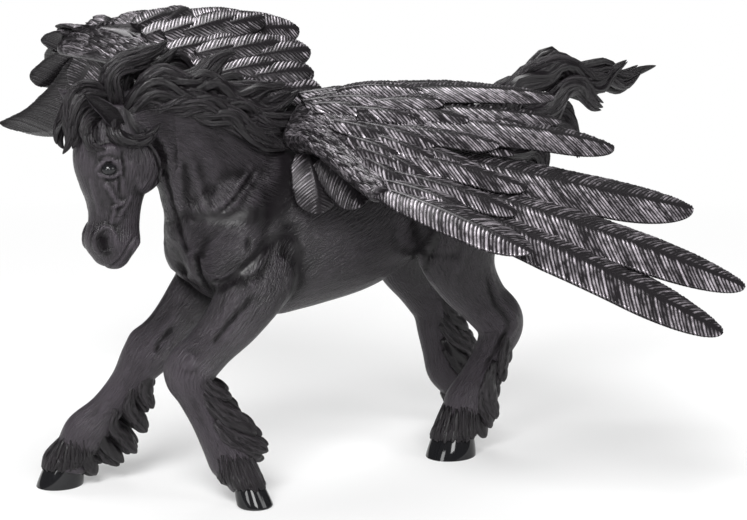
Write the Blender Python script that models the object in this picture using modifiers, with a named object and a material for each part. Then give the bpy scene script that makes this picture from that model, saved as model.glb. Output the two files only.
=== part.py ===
"""A striding pegasus figurine in moulded plastic: one solid horse, and two wings plugged into its shoulders."""

import math

import bmesh
import bpy
import numpy as np
from mathutils import Matrix, Vector

# Everything is modelled in the horse's own space, in millimetres: ahead of the withers, to the
# left of the middle, above the ground. to_object turns it so that the horse faces -X.
MM = 0.001
LEFT = (0.0, 1.0, 0.0)
AHEAD = (1.0, 0.0, 0.0)

# Mesh sizes: the voxels that fuse the forms, and the triangles that are kept.
BODY_VOXEL = 0.8
WING_VOXEL = 0.55
BODY_TRIANGLES = 6100
WING_TRIANGLES = 2450
TUBE_SIDES = 16
BLADE_SIDES = 8
SPAN_STEPS = 4

SMOOTHING = 2
GROUND_CUT = 400.0

# Fits: each wing has an oval boss that plugs into a socket in the shoulder.
WING_GAP = 0.3
BOSS_HALF_LENGTH = 5.0
BOSS_HALF_HEIGHT = 3.2
BOSS_DEPTH = 7.0
BOSS_REACH = 4.0

# The trunk, as (ahead, height, half width, half height) from the breast to the rump.
TRUNK = [
    (27.0, 63.0, 6.0, 7.0),
    (22.0, 64.5, 12.0, 13.5),
    (12.0, 66.5, 15.0, 20.0),
    (0.0, 68.0, 16.0, 24.0),
    (-12.0, 67.5, 17.0, 22.5),
    (-25.0, 67.5, 17.5, 20.0),
    (-38.0, 70.5, 16.5, 17.0),
    (-50.0, 73.0, 16.0, 15.6),
    (-62.0, 74.5, 15.0, 14.0),
    (-71.0, 75.5, 10.5, 9.5),
    (-76.0, 76.0, 5.0, 5.0),
]

# The neck, as (ahead, height, half width, half depth) from inside the shoulder to the poll.
NECK = [
    (3.0, 70.0, 13.5, 22.0),
    (12.0, 79.0, 11.0, 20.5),
    (20.0, 88.0, 9.0, 14.8),
    (28.0, 94.0, 7.6, 11.8),
    (36.0, 97.0, 6.6, 9.6),
    (42.5, 96.5, 6.0, 7.5),
]

# The head, as (ahead, height, half width, half depth) from the lips to the poll.
HEAD = [
    (44.4, 61.9, 3.4, 3.0),
    (44.6, 63.6, 5.4, 6.0),
    (44.9, 68.3, 6.2, 7.3),
    (44.3, 73.0, 5.3, 6.6),
    (43.9, 78.0, 5.6, 7.0),
    (43.8, 83.0, 6.6, 9.0),
    (43.8, 88.0, 7.4, 10.4),
    (43.7, 93.0, 7.2, 10.2),
    (43.6, 98.0, 6.3, 8.2),
    (43.2, 102.5, 4.4, 5.0),
]

# Each leg, as (ahead, left, height, half width, half depth) down to the coronet.
RIGHT_FORE = [
    (6.0, -8.5, 64.0, 6.5, 14.0),
    (10.0, -10.5, 54.0, 6.8, 10.8),
    (16.0, -12.0, 46.5, 6.5, 8.8),
    (23.0, -12.5, 40.0, 5.9, 6.9),
    (29.8, -12.8, 34.5, 5.8, 6.0),
    (34.5, -15.0, 27.5, 4.6, 4.8),
    (39.5, -17.5, 20.5, 4.4, 4.6),
    (44.5, -19.8, 14.5, 5.0, 5.4),
    (47.5, -21.8, 9.5, 4.9, 5.0),
    (49.0, -23.2, 5.5, 5.8, 6.0),
]
LEFT_FORE = [
    (4.5, 8.5, 64.0, 6.5, 14.0),
    (11.0, 11.0, 55.0, 7.2, 10.0),
    (17.5, 11.6, 47.0, 6.5, 7.6),
    (24.0, 11.0, 40.8, 5.8, 6.2),
    (29.6, 10.3, 35.0, 5.7, 6.0),
    (28.2, 10.4, 29.0, 4.6, 4.9),
    (25.2, 11.0, 22.5, 4.3, 4.6),
    (22.2, 11.8, 16.0, 4.6, 4.9),
    (19.6, 13.0, 10.8, 4.9, 5.3),
    (18.4, 15.2, 7.4, 4.3, 4.4),
    (17.6, 17.0, 5.4, 4.4, 4.4),
]
LEFT_HIND = [
    (-56.0, 7.5, 76.0, 7.0, 15.0),
    (-54.5, 9.5, 66.0, 8.5, 15.5),
    (-53.0, 11.5, 57.5, 7.8, 13.0),
    (-55.0, 12.8, 50.0, 6.4, 9.6),
    (-60.5, 13.4, 42.5, 5.2, 7.4),
    (-66.5, 13.6, 35.5, 4.9, 6.8),
    (-64.0, 13.4, 28.5, 4.3, 5.6),
    (-59.0, 12.9, 21.5, 4.1, 4.8),
    (-55.0, 12.3, 14.5, 4.6, 5.2),
    (-53.0, 12.2, 9.5, 4.6, 4.9),
    (-51.5, 12.4, 5.5, 5.6, 6.0),
]
RIGHT_HIND = [
    (-56.0, -7.5, 76.0, 7.0, 15.0),
    (-53.5, -9.5, 66.0, 8.5, 15.0),
    (-51.5, -11.5, 57.5, 7.6, 12.4),
    (-53.0, -13.0, 50.0, 6.2, 9.2),
    (-58.0, -14.0, 42.5, 5.2, 7.0),
    (-63.0, -14.4, 35.5, 4.9, 6.4),
    (-63.6, -14.2, 28.5, 4.2, 5.0),
    (-64.8, -13.8, 22.0, 4.0, 4.6),
    (-66.6, -13.4, 16.0, 4.5, 4.9),
    (-71.0, -13.0, 10.6, 4.2, 4.4),
    (-73.0, -12.8, 7.0, 4.6, 4.6),
]

# The hooves, as (top, sole, half width, half length): the sole's middle may reach below the
# ground, where the mould's flat cuts it off.
HOOF_FLARE = 1.16
HOOVES = {
    "right_fore": ((49.2, -23.4, 6.2), (50.2, -24.4, -1.0), 4.9, 5.2),
    "left_fore": ((17.4, 17.6, 6.0), (16.2, 19.8, -0.3), 4.0, 3.8),
    "left_hind": ((-51.3, 12.5, 6.2), (-50.4, 12.8, -1.0), 5.5, 6.0),
    "right_hind": ((-73.4, -12.8, 6.6), (-73.0, -12.4, -0.6), 4.4, 4.4),
}

# Muscles and bony points, as (ahead, left, height), (half sizes), pitch in degrees. Each is made
# on both sides.
MUSCLES = [
    ((15.0, 10.5, 68.0), (8.5, 5.5, 14.0), -28.0),
    ((13.0, 10.5, 58.0), (9.0, 5.5, 7.5), 0.0),
    ((-57.0, 9.0, 72.0), (15.0, 7.5, 13.0), 20.0),
    ((-67.0, 7.5, 66.0), (5.5, 6.0, 10.0), 0.0),
    ((39.0, 3.6, 87.5), (7.0, 3.8, 7.6), 0.0),
    ((47.5, 5.4, 91.6), (3.4, 2.2, 2.4), 0.0),
    ((48.6, 6.1, 88.2), (1.7, 1.7, 1.6), 0.0),
    ((48.6, 3.7, 68.6), (1.9, 1.7, 2.6), 0.0),
]

# Hair locks: (root, bends, tip) and (half width, half thickness) of the widest part. Each taper
# gives the share of that size at a share of the length. The lobe curve gives, for three points,
# the shares of the reach back, of the spread sideways and of the drop.
LOCK_TAPER = ((0.0, 0.7), (0.3, 1.0), (0.7, 0.75), (1.0, 0.22))
LOBE_TAPER = ((0.0, 0.9), (0.5, 1.0), (1.0, 0.6))
LOBE_CURVE = ((0.0, 0.6, 0.0), (0.6, 1.0, 0.3), (1.0, 1.4, 1.0))
EAR = [((45.5, 4.6, 99.5), (49.0, 5.6, 103.5), (54.6, 6.2, 106.4)), (2.3, 1.3)]
FORELOCK = [
    [((44.0, 0.5, 104.5), (52.0, 2.5, 105.5), (56.0, 3.0, 98.0), (59.2, 0.5, 90.8)), (3.4, 2.2)],
    [((45.0, 2.0, 103.0), (50.5, 5.5, 100.5), (52.0, 7.0, 95.5), (49.0, 8.5, 93.0)), (3.0, 1.8)],
    [((44.0, -2.0, 104.5), (51.5, -3.5, 104.0), (55.0, -4.0, 97.0), (54.0, -4.5, 91.0)), (3.4, 2.2)],
    [((46.0, 4.5, 100.0), (47.0, 8.0, 96.0), (41.0, 9.0, 95.0), (34.0, 8.0, 98.0)), (2.6, 1.6)],
]
MANE = [
    [((43.0, 1.0, 102.0), (45.0, 2.0, 109.5), (37.0, 2.5, 113.0), (28.7, 1.5, 118.5)), (3.6, 2.8)],
    [((40.0, -1.5, 102.0), (38.0, -3.0, 110.0), (30.0, -3.0, 111.5), (23.0, -2.0, 115.0)), (4.0, 2.8)],
    [((37.0, 2.0, 102.0), (33.0, 4.5, 108.0), (21.0, 4.0, 108.5), (9.5, 3.0, 114.3)), (4.2, 2.6)],
    [((33.0, -2.0, 103.0), (26.0, -5.0, 109.0), (16.0, -5.5, 107.5), (7.0, -4.5, 111.0)), (4.0, 2.6)],
    [((42.0, 3.0, 100.0), (38.0, 6.0, 105.5), (28.0, 7.2, 105.5), (16.0, 6.4, 108.0)), (4.0, 2.4)],
    [((30.0, 2.0, 102.5), (20.0, 5.4, 105.5), (8.0, 5.0, 103.0), (-4.5, 4.0, 106.2)), (4.2, 2.6)],
    [((26.0, -1.5, 103.0), (15.0, -4.5, 104.5), (5.0, -5.0, 102.0), (-6.0, -4.0, 103.5)), (4.0, 2.6)],
    [((24.0, 3.0, 100.0), (13.0, 6.0, 101.0), (1.0, 5.5, 99.5), (-9.5, 3.5, 102.4)), (4.0, 2.3)],
    [((18.0, 1.0, 100.0), (8.0, 2.5, 99.5), (-1.5, 2.0, 96.5), (-10.0, 1.5, 97.0)), (4.0, 2.6)],
    [((17.0, 4.0, 96.5), (9.0, 6.5, 95.5), (2.5, 7.0, 91.0), (-6.0, 6.5, 88.0)), (3.4, 1.9)],
    [((12.0, -2.0, 97.0), (4.0, -4.0, 95.5), (-4.0, -3.5, 93.0), (-12.0, -2.5, 93.0)), (3.6, 2.2)],
    [((8.0, 0.5, 94.5), (0.0, 1.0, 94.0), (-8.0, 1.0, 91.0), (-15.0, 0.5, 89.5)), (3.4, 2.1)],
]
TAIL = [
    [((-70.0, 0.0, 82.0), (-78.5, 0.5, 94.5), (-93.0, 1.0, 104.0), (-112.0, 1.5, 100.5), (-136.5, 1.0, 101.6)), (5.0, 3.6)],
    [((-71.0, 1.5, 83.0), (-76.5, 3.0, 95.0), (-91.5, 3.5, 104.5), (-107.0, 3.0, 99.5), (-122.5, 3.5, 105.0)), (5.0, 3.4)],
    [((-71.0, -1.5, 83.0), (-80.0, -3.0, 97.0), (-95.0, -4.0, 101.0), (-112.0, -3.5, 96.5), (-130.5, -3.0, 97.5)), (5.0, 3.6)],
    [((-72.0, 1.0, 81.0), (-82.0, 3.5, 90.0), (-95.0, 5.0, 97.0), (-104.0, 4.5, 95.0), (-113.0, 3.5, 93.0)), (5.0, 3.4)],
    [((-73.0, -1.0, 80.0), (-83.0, -3.5, 87.0), (-94.0, -5.0, 93.0), (-103.5, -4.5, 89.5), (-109.5, -4.0, 82.5)), (4.8, 3.4)],
    [((-73.0, 0.0, 79.0), (-84.0, 0.5, 84.0), (-93.0, 1.5, 88.0), (-101.0, 2.0, 84.0), (-104.0, 2.5, 76.0)), (4.4, 3.2)],
    [((-73.0, 0.0, 78.0), (-82.0, -1.5, 79.5), (-90.0, -2.0, 78.0), (-95.0, -2.0, 70.0)), (4.0, 3.0)],
    [((-69.0, 0.0, 84.0), (-69.0, 2.0, 91.5), (-73.0, 3.0, 96.5), (-81.0, 3.0, 98.5)), (3.4, 2.4)],
]

# Hair on the lower legs: the leg that carries it, and the (height, reach back, drop) of its lobes.
LEG_HAIR = [
    (RIGHT_FORE, ((28.0, 6.5, 4.0), (24.0, 9.5, 5.0), (19.0, 12.5, 6.0), (14.0, 14.5, 6.5), (9.5, 13.5, 5.5), (7.0, 9.0, 4.0))),
    (LEFT_FORE[4:], ((29.0, 10.0, 1.5), (25.0, 11.5, 3.0), (20.5, 13.0, 3.0), (16.5, 13.5, 2.5), (13.0, 10.0, 1.5))),
    (LEFT_HIND[5:], ((27.5, 5.0, 4.5), (23.5, 5.8, 5.5), (19.0, 7.5, 6.0), (14.5, 9.5, 6.5), (10.5, 9.5, 5.5))),
    (RIGHT_HIND[5:], ((34.0, 9.5, 1.5), (31.0, 12.0, 3.0), (27.5, 13.5, 3.0), (24.0, 13.0, 3.5), (20.5, 11.5, 4.0), (17.0, 9.0, 4.0))),
]
LOBE_TURNS = (-1, 0, 1)
LOBE_HALF_WIDTH = 2.9
LOBE_HALF_THICKNESS = 1.8
LOBE_SPREAD = 2.4
LOBE_SIDE_SHORTER = 1.5
LOBE_ROOT_RISE = 1.5

# The wings: the arm from the boss to the wrist and the palm behind it, as rows of (ahead, left,
# height, half length, half thickness), then the feathers as (root, middle, tip, half width) from
# the back to the leading edge. The two wings are posed differently, as in a wing beat.
FEATHER_HALF_THICKNESS = 0.8
LOBE_LEAN = 0.3
BLADE_ROUNDNESS = 0.5
# The share of the length, and the shares of the width and of the thickness there.
BLADE_TAPER = (
    (0.0, 0.55, 1.3),
    (0.2, 0.85, 1.15),
    (0.5, 1.0, 1.0),
    (0.8, 0.84, 0.9),
    (0.93, 0.58, 0.8),
    (1.0, 0.2, 0.5),
)
LEFT_WING = {
    "boss": (-7.0, 10.5, 88.0),
    "normals": ((0.10, 0.20, 0.97), (0.10, 0.50, 0.86)),
    "arm": [
        (-7.0, 11.0, 92.0, 9.0, 5.0),
        (-5.5, 18.0, 93.0, 7.5, 3.8),
        (-4.5, 30.0, 89.0, 5.5, 3.0),
        (-3.0, 40.0, 85.2, 4.4, 2.8),
        (-2.5, 48.5, 82.2, 3.2, 2.2),
    ],
    "palm": [
        (-10.5, 7.5, 98.8, 10.0, 3.6),
        (-14.5, 18.0, 98.4, 13.0, 3.0),
        (-15.0, 30.0, 92.6, 12.0, 2.6),
        (-12.0, 42.0, 86.0, 9.0, 2.0),
    ],
    "feathers": [
        ((-12.0, 10.0, 101.0), (-34.0, 12.5, 103.4), (-59.0, 20.0, 102.2), 5.5),
        ((-14.0, 16.0, 101.0), (-42.0, 21.5, 102.8), (-72.0, 28.0, 99.6), 7.4),
        ((-14.0, 25.0, 97.0), (-46.0, 38.0, 94.6), (-76.0, 48.0, 88.0), 9.6),
        ((-12.0, 33.0, 92.0), (-47.0, 55.8, 83.0), (-80.6, 73.4, 74.8), 11.0),
        ((-8.0, 41.0, 87.0), (-41.5, 71.0, 75.2), (-72.4, 100.4, 60.6), 9.2),
        ((-6.0, 45.0, 84.5), (-31.0, 75.0, 71.8), (-58.0, 108.0, 52.8), 8.6),
        ((-4.0, 47.0, 83.0), (-9.5, 65.0, 79.6), (-20.0, 84.0, 72.2), 6.6),
    ],
    "coverts": [
        ((-12.0, 15.0, 103.0), (-28.0, 19.0, 103.5), (-47.0, 27.0, 98.0), 5.6),
        ((-11.0, 25.0, 99.0), (-28.0, 31.0, 97.0), (-47.0, 40.0, 89.8), 6.0),
        ((-9.0, 34.0, 93.0), (-24.0, 45.0, 88.4), (-40.5, 58.0, 80.0), 6.4),
    ],
    "lobes": [
        ((-4.0, 13.0, 88.0), (-3.0, 18.5, 81.0), (-3.0, 20.0, 73.6), 5.6),
        ((-6.0, 17.0, 87.0), (-9.5, 23.0, 81.5), (-11.5, 27.5, 76.0), 5.4),
    ],
}
RIGHT_WING = {
    "boss": (-5.0, -10.5, 88.0),
    "normals": ((0.05, 0.60, 0.80), (-0.45, -0.30, 0.77)),
    "arm": [
        (-4.5, -11.5, 90.5, 9.0, 6.0),
        (4.0, -17.0, 98.5, 7.5, 3.8),
        (14.0, -26.0, 106.5, 6.0, 3.0),
        (26.0, -38.0, 111.5, 4.6, 2.8),
        (35.0, -48.5, 112.6, 3.2, 2.2),
    ],
    "palm": [
        (-6.0, -13.0, 98.0, 9.0, 3.0),
        (2.0, -21.0, 108.0, 12.0, 2.8),
        (12.0, -31.0, 115.6, 11.0, 2.6),
        (24.0, -41.0, 116.2, 8.0, 2.4),
        (33.0, -47.0, 114.0, 4.0, 2.0),
    ],
    "feathers": [
        ((2.0, -15.0, 101.0), (-12.0, -15.0, 101.0), (-25.7, -16.0, 98.8), 4.8),
        ((4.0, -19.0, 105.0), (-12.0, -20.5, 105.8), (-28.0, -22.0, 104.4), 5.2),
        ((6.0, -23.0, 109.5), (-12.0, -25.5, 111.0), (-30.7, -28.0, 109.8), 5.6),
        ((9.0, -28.0, 114.0), (-11.0, -31.0, 116.0), (-31.0, -34.5, 115.4), 5.8),
        ((12.0, -33.0, 116.4), (-9.0, -38.0, 118.6), (-28.0, -40.0, 120.0), 5.8),
        ((16.0, -37.0, 117.0), (-6.0, -46.0, 119.0), (-27.0, -52.0, 119.4), 6.4),
        ((20.0, -40.0, 116.5), (-3.0, -59.0, 116.5), (-26.0, -76.0, 112.5), 8.2),
        ((24.0, -43.0, 116.0), (6.0, -70.0, 112.5), (-13.0, -93.0, 103.5), 9.0),
        ((28.0, -45.0, 114.5), (17.0, -77.0, 105.0), (5.0, -104.0, 94.0), 9.4),
        ((26.0, -44.0, 112.0), (22.0, -79.0, 91.5), (26.6, -108.0, 84.2), 8.4),
        ((29.5, -46.0, 111.5), (28.6, -62.0, 106.0), (29.6, -77.0, 99.4), 5.4),
    ],
    "coverts": [
        ((28.0, -42.0, 110.5), (27.0, -50.0, 105.5), (27.8, -56.5, 100.2), 5.0),
    ],
    "lobes": [
        ((-3.0, -14.0, 90.0), (-2.5, -18.0, 82.0), (-3.0, -20.0, 74.0), 5.6),
        ((-5.0, -17.0, 89.0), (-9.5, -22.0, 83.0), (-12.0, -26.0, 77.0), 5.4),
    ],
}
COLOURS = {
    "horse_body": ((0.028, 0.025, 0.028), 0.5),
    "left_wing": ((0.060, 0.055, 0.062), 0.42),
    "right_wing": ((0.060, 0.055, 0.062), 0.42),
}


def clear_scene():
    """Removes what the startup file holds."""
    for obj in list(bpy.data.objects):
        bpy.data.objects.remove(obj)


def new_collection(name):
    """A collection linked to the scene."""
    collection = bpy.data.collections.new(name)
    bpy.context.scene.collection.children.link(collection)
    return collection


def smooth_rows(rows, steps=SPAN_STEPS):
    """Catmull-Rom rows through the given ones."""
    rows = np.array(rows, float)
    padded = np.vstack([2 * rows[0] - rows[1], rows, 2 * rows[-1] - rows[-2]])
    found = []
    for a, b, c, d in zip(padded, padded[1:], padded[2:], padded[3:]):
        for t in np.arange(steps) / steps:
            curve = 2 * b + (c - a) * t + (2 * a - 5 * b + 4 * c - d) * t**2 + (3 * b - a - 3 * c + d) * t**3
            found.append(curve / 2)
    return np.array(found + [rows[-1]])


def tube(bm, rows, side=LEFT, sides=TUBE_SIDES, roundness=1.0):
    """A closed loft through rows of (ahead, left, height, half size along side, half size across it)."""
    rows = smooth_rows(rows)
    tangents = np.gradient(rows[:, :3], axis=0)
    rings = []
    for row, tangent in zip(rows, tangents):
        tangent = Vector(tangent).normalized()
        along = Vector(side)
        along = (along - tangent * along.dot(tangent)).normalized()
        across = tangent.cross(along)
        ring = []
        for k in range(sides):
            turn = 2 * math.pi * (k + 0.5) / sides
            x = math.copysign(abs(math.cos(turn)) ** roundness, math.cos(turn))
            y = math.copysign(abs(math.sin(turn)) ** roundness, math.sin(turn))
            offset = along * (row[3] * x) + across * (row[4] * y)
            ring.append(bm.verts.new(Vector(row[:3]) + offset))
        rings.append(ring)
    for first, second in zip(rings, rings[1:]):
        for k in range(sides):
            bm.faces.new((first[k - 1], first[k], second[k], second[k - 1]))
    bm.faces.new(rings[0][::-1])
    bm.faces.new(rings[-1])


def ellipsoid(bm, centre, half_sizes, pitch=0.0):
    """A muscle or a bony point, pitched about the sideways axis."""
    place = Matrix.Translation(centre) @ Matrix.Rotation(math.radians(pitch), 4, "Y")
    shape = place @ Matrix.Diagonal((*half_sizes, 1.0))
    bmesh.ops.create_uvsphere(bm, u_segments=TUBE_SIDES, v_segments=TUBE_SIDES // 2, radius=1.0, matrix=shape)


def flat_lock(bm, points, half_width, half_thickness, taper=LOCK_TAPER):
    """A tapered lock of hair through its points, flat towards the sides of the horse."""
    lengths = np.linspace(0.0, 1.0, len(points))
    taper_at, sizes = zip(*taper)
    rows = []
    for point, t in zip(points, lengths):
        size = np.interp(t, taper_at, sizes)
        rows.append((*point, half_thickness * size, half_width * size))
    tube(bm, rows, sides=BLADE_SIDES)


def mirrored(point, side):
    """The point, on the left (1) or the right (-1) side."""
    return (point[0], point[1] * side, point[2])


def add_trunk(bm):
    """Trunk, neck, head and the muscles on both sides."""
    tube(bm, [(a, 0.0, h, w, d) for a, h, w, d in TRUNK])
    tube(bm, [(a, 0.0, h, w, d) for a, h, w, d in NECK])
    tube(bm, [(a, 0.0, h, w, d) for a, h, w, d in HEAD])
    for side in (1, -1):
        for centre, half_sizes, pitch in MUSCLES:
            ellipsoid(bm, mirrored(centre, side), half_sizes, pitch)


def add_hoof(bm, top, sole, half_width, half_length):
    """A hoof that flares from the coronet to the sole."""
    top = Vector(top)
    sole = Vector(sole)
    rows = []
    for t in (0.0, 0.5, 1.0):
        size = 1 + (HOOF_FLARE - 1) * t
        rows.append((*top.lerp(sole, t), half_width * size, half_length * size))
    tube(bm, rows)


def add_leg_hair(bm, leg, lobes):
    """Lobes of hair that hang behind the lower leg, three to each height."""
    aheads, lefts, heights = np.array(leg)[::-1, :3].T
    for height, reach, drop in lobes:
        ahead = np.interp(height, heights, aheads)
        left = np.interp(height, heights, lefts)
        for turn in LOBE_TURNS:
            spread = turn * LOBE_SPREAD
            back = reach - abs(turn) * LOBE_SIDE_SHORTER
            points = []
            for along, out, fall in LOBE_CURVE:
                rise = LOBE_ROOT_RISE * (1 - along)
                points.append((ahead - back * along, left + spread * out, height + rise - drop * fall))
            flat_lock(bm, points, LOBE_HALF_WIDTH, LOBE_HALF_THICKNESS, LOBE_TAPER)


def add_legs(bm):
    """Legs, hooves and the hair on the lower legs."""
    for leg in (RIGHT_FORE, LEFT_FORE, LEFT_HIND, RIGHT_HIND):
        tube(bm, leg)
    for top, sole, half_width, half_length in HOOVES.values():
        add_hoof(bm, top, sole, half_width, half_length)
    for leg, lobes in LEG_HAIR:
        add_leg_hair(bm, leg, lobes)


def add_hair(bm):
    """Ears, forelock, mane and tail."""
    points, sizes = EAR
    for side in (1, -1):
        flat_lock(bm, [mirrored(point, side) for point in points], *sizes)
    for points, sizes in FORELOCK + MANE + TAIL:
        flat_lock(bm, points, *sizes)


def blade(bm, root, middle, tip, half_width, normal):
    """One feather: a flat blade through its three points, whose upper face looks along the normal."""
    root, middle, tip = Vector(root), Vector(middle), Vector(tip)
    bend = 2 * middle - (root + tip) / 2
    across = Vector(normal).cross(tip - root).normalized()
    rows = []
    for t, width, thickness in BLADE_TAPER:
        centre = root * (1 - t) ** 2 + bend * (2 * t * (1 - t)) + tip * t**2
        rows.append((*centre, half_width * width, FEATHER_HALF_THICKNESS * thickness))
    tube(bm, rows, side=across, sides=BLADE_SIDES, roundness=BLADE_ROUNDNESS)


def wing_form(wing):
    """The arm, the fleshy palm behind it and the feathers of one wing."""
    bm = bmesh.new()
    tube(bm, wing["arm"], side=AHEAD)
    tube(bm, wing["palm"], side=AHEAD)
    inner, outer = (Vector(normal) for normal in wing["normals"])
    side = math.copysign(1.0, wing["boss"][1])
    for i, feather in enumerate(wing["feathers"]):
        blade(bm, *feather, inner.lerp(outer, i / (len(wing["feathers"]) - 1)))
    for i, covert in enumerate(wing["coverts"]):
        blade(bm, *covert, inner.lerp(outer, i / len(wing["coverts"])))
    for lobe in wing["lobes"]:
        blade(bm, *lobe, (LOBE_LEAN, side, LOBE_LEAN))
    return bm


def boss_form(wing, gap=0.0):
    """The oval boss of a wing, or with a gap the socket that takes it."""
    bm = bmesh.new()
    ahead, left, height = wing["boss"]
    side = math.copysign(1.0, left)
    inner = (ahead, left - side * (BOSS_DEPTH + gap), height)
    outer = (ahead, left + side * (BOSS_REACH + gap), height)
    sizes = (BOSS_HALF_LENGTH + gap, BOSS_HALF_HEIGHT + gap)
    tube(bm, [(*inner, *sizes), (*outer, *sizes)], side=AHEAD)
    return bm


def to_object(bm, name, collection):
    """Makes an object of the form, turned to face -X and in metres."""
    bmesh.ops.recalc_face_normals(bm, faces=bm.faces)
    bmesh.ops.transform(bm, matrix=Matrix.Diagonal((-MM, -MM, MM, 1.0)), verts=bm.verts)
    mesh = bpy.data.meshes.new(name)
    bm.to_mesh(mesh)
    bm.free()
    obj = bpy.data.objects.new(name, mesh)
    collection.objects.link(obj)
    return obj


def bake(obj):
    """Replaces the object's mesh by what its modifiers make of it."""
    graph = bpy.context.evaluated_depsgraph_get()
    mesh = bpy.data.meshes.new_from_object(obj.evaluated_get(graph))
    obj.modifiers.clear()
    obj.data = mesh


def keep_largest(obj):
    """Drops every loose part but the largest, such as the inner skin of a trapped hollow."""
    bm = bmesh.new()
    bm.from_mesh(obj.data)
    left = set(bm.verts)
    islands = []
    while left:
        island = []
        queue = [left.pop()]
        while queue:
            vert = queue.pop()
            island.append(vert)
            for edge in vert.link_edges:
                other = edge.other_vert(vert)
                if other in left:
                    left.discard(other)
                    queue.append(other)
        islands.append(island)
    islands.sort(key=len)
    for island in islands[:-1]:
        bmesh.ops.delete(bm, geom=island, context="VERTS")
    bm.to_mesh(obj.data)
    bm.free()


def fuse(obj, voxel, triangles):
    """Fuses overlapping forms into one skin, softens it and thins its triangles."""
    remesh = obj.modifiers.new("fuse", "REMESH")
    remesh.mode = "VOXEL"
    remesh.voxel_size = voxel * MM
    soften = obj.modifiers.new("soften", "SMOOTH")
    soften.iterations = SMOOTHING
    bake(obj)
    keep_largest(obj)
    faces = sum(len(face.vertices) - 2 for face in obj.data.polygons)
    thin = obj.modifiers.new("thin", "DECIMATE")
    thin.ratio = triangles / faces
    bake(obj)
    keep_largest(obj)


def add_boolean(obj, other, operation):
    """A Boolean with another object."""
    modifier = obj.modifiers.new(operation.lower(), "BOOLEAN")
    modifier.operation = operation
    modifier.object = other


def as_cutter(obj):
    """Keeps a helper out of the build."""
    obj.hide_render = True
    obj.display_type = "WIRE"
    return obj


def horse_object(parts):
    """The horse's solid, before its sockets and its flat soles are cut."""
    bm = bmesh.new()
    add_trunk(bm)
    add_legs(bm)
    add_hair(bm)
    obj = to_object(bm, "horse_body", parts)
    fuse(obj, BODY_VOXEL, BODY_TRIANGLES)
    return obj


def clearance_copy(obj, cutters):
    """A copy of the horse, grown by the gap to its wings."""
    grown = as_cutter(bpy.data.objects.new("horse_clearance", obj.data.copy()))
    cutters.objects.link(grown)
    swell = grown.modifiers.new("swell", "DISPLACE")
    swell.mid_level = 0.0
    swell.strength = WING_GAP * MM
    bake(grown)
    return grown


def wing_object(name, wing, parts, cutters, clearance):
    """A wing, trimmed clear of the horse, with its boss."""
    obj = to_object(wing_form(wing), name, parts)
    fuse(obj, WING_VOXEL, WING_TRIANGLES)
    boss = as_cutter(to_object(boss_form(wing), name + "_boss", cutters))
    add_boolean(obj, clearance, "DIFFERENCE")
    bake(obj)
    keep_largest(obj)
    add_boolean(obj, boss, "UNION")
    return obj


def cut_horse(horse, wings, cutters):
    """Cuts the wing sockets and the flat under the hooves."""
    for name, wing in wings.items():
        socket = as_cutter(to_object(boss_form(wing, WING_GAP), name + "_socket", cutters))
        add_boolean(horse, socket, "DIFFERENCE")
    bm = bmesh.new()
    bmesh.ops.create_cube(bm, size=GROUND_CUT, matrix=Matrix.Translation((0.0, 0.0, -GROUND_CUT / 2)))
    ground = as_cutter(to_object(bm, "ground_cut", cutters))
    add_boolean(horse, ground, "DIFFERENCE")


def finish(obj):
    """The part's material and smooth shading."""
    colour, roughness = COLOURS[obj.name]
    material = bpy.data.materials.new(obj.name)
    material.use_nodes = True
    shader = material.node_tree.nodes["Principled BSDF"]
    shader.inputs["Base Color"].default_value = (*colour, 1.0)
    shader.inputs["Roughness"].default_value = roughness
    obj.data.materials.clear()
    obj.data.materials.append(material)
    obj.data.shade_smooth()


def stand_on_origin(objects):
    """Moves the parts so that the middle of their box stands on the origin."""
    bpy.context.view_layer.update()
    graph = bpy.context.evaluated_depsgraph_get()
    corners = np.array([corner for obj in objects for corner in obj.evaluated_get(graph).bound_box])
    middle = (corners.min(axis=0) + corners.max(axis=0)) / 2
    for obj in bpy.data.objects:
        obj.location = (-middle[0], -middle[1], 0.0)


def main():
    clear_scene()
    parts = new_collection("pegasus_figurine")
    cutters = new_collection("cutters")
    wings = {"left_wing": LEFT_WING, "right_wing": RIGHT_WING}
    horse = horse_object(parts)
    clearance = clearance_copy(horse, cutters)
    objects = [horse]
    for name, wing in wings.items():
        objects.append(wing_object(name, wing, parts, cutters, clearance))
    cut_horse(horse, wings, cutters)
    for obj in objects:
        finish(obj)
    stand_on_origin(objects)


main()
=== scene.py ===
"""The looks of a pegasus figurine: a satin near-black horse with carved muscles, hair and feathers."""

import math

import bpy
import numpy as np
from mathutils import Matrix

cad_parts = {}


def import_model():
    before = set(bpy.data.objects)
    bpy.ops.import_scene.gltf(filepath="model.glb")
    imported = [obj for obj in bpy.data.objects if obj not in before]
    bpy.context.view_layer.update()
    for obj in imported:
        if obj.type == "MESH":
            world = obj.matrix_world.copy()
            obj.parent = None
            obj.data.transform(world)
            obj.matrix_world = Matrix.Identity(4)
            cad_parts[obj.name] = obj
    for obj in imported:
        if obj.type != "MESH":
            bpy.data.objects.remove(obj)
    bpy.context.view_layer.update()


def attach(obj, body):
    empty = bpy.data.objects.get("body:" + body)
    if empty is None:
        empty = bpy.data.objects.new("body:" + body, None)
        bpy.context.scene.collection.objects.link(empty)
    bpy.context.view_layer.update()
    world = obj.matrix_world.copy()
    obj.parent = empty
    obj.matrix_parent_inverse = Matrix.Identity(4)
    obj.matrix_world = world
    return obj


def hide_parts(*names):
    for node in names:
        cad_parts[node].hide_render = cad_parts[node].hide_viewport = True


# Everything is modelled in the horse's own space, in millimetres: ahead of the withers, to the
# left of the middle, above the ground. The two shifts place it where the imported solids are.
MM = 0.001
AHEAD_SHIFT = -38.40
LEFT_SHIFT = 0.08

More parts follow.
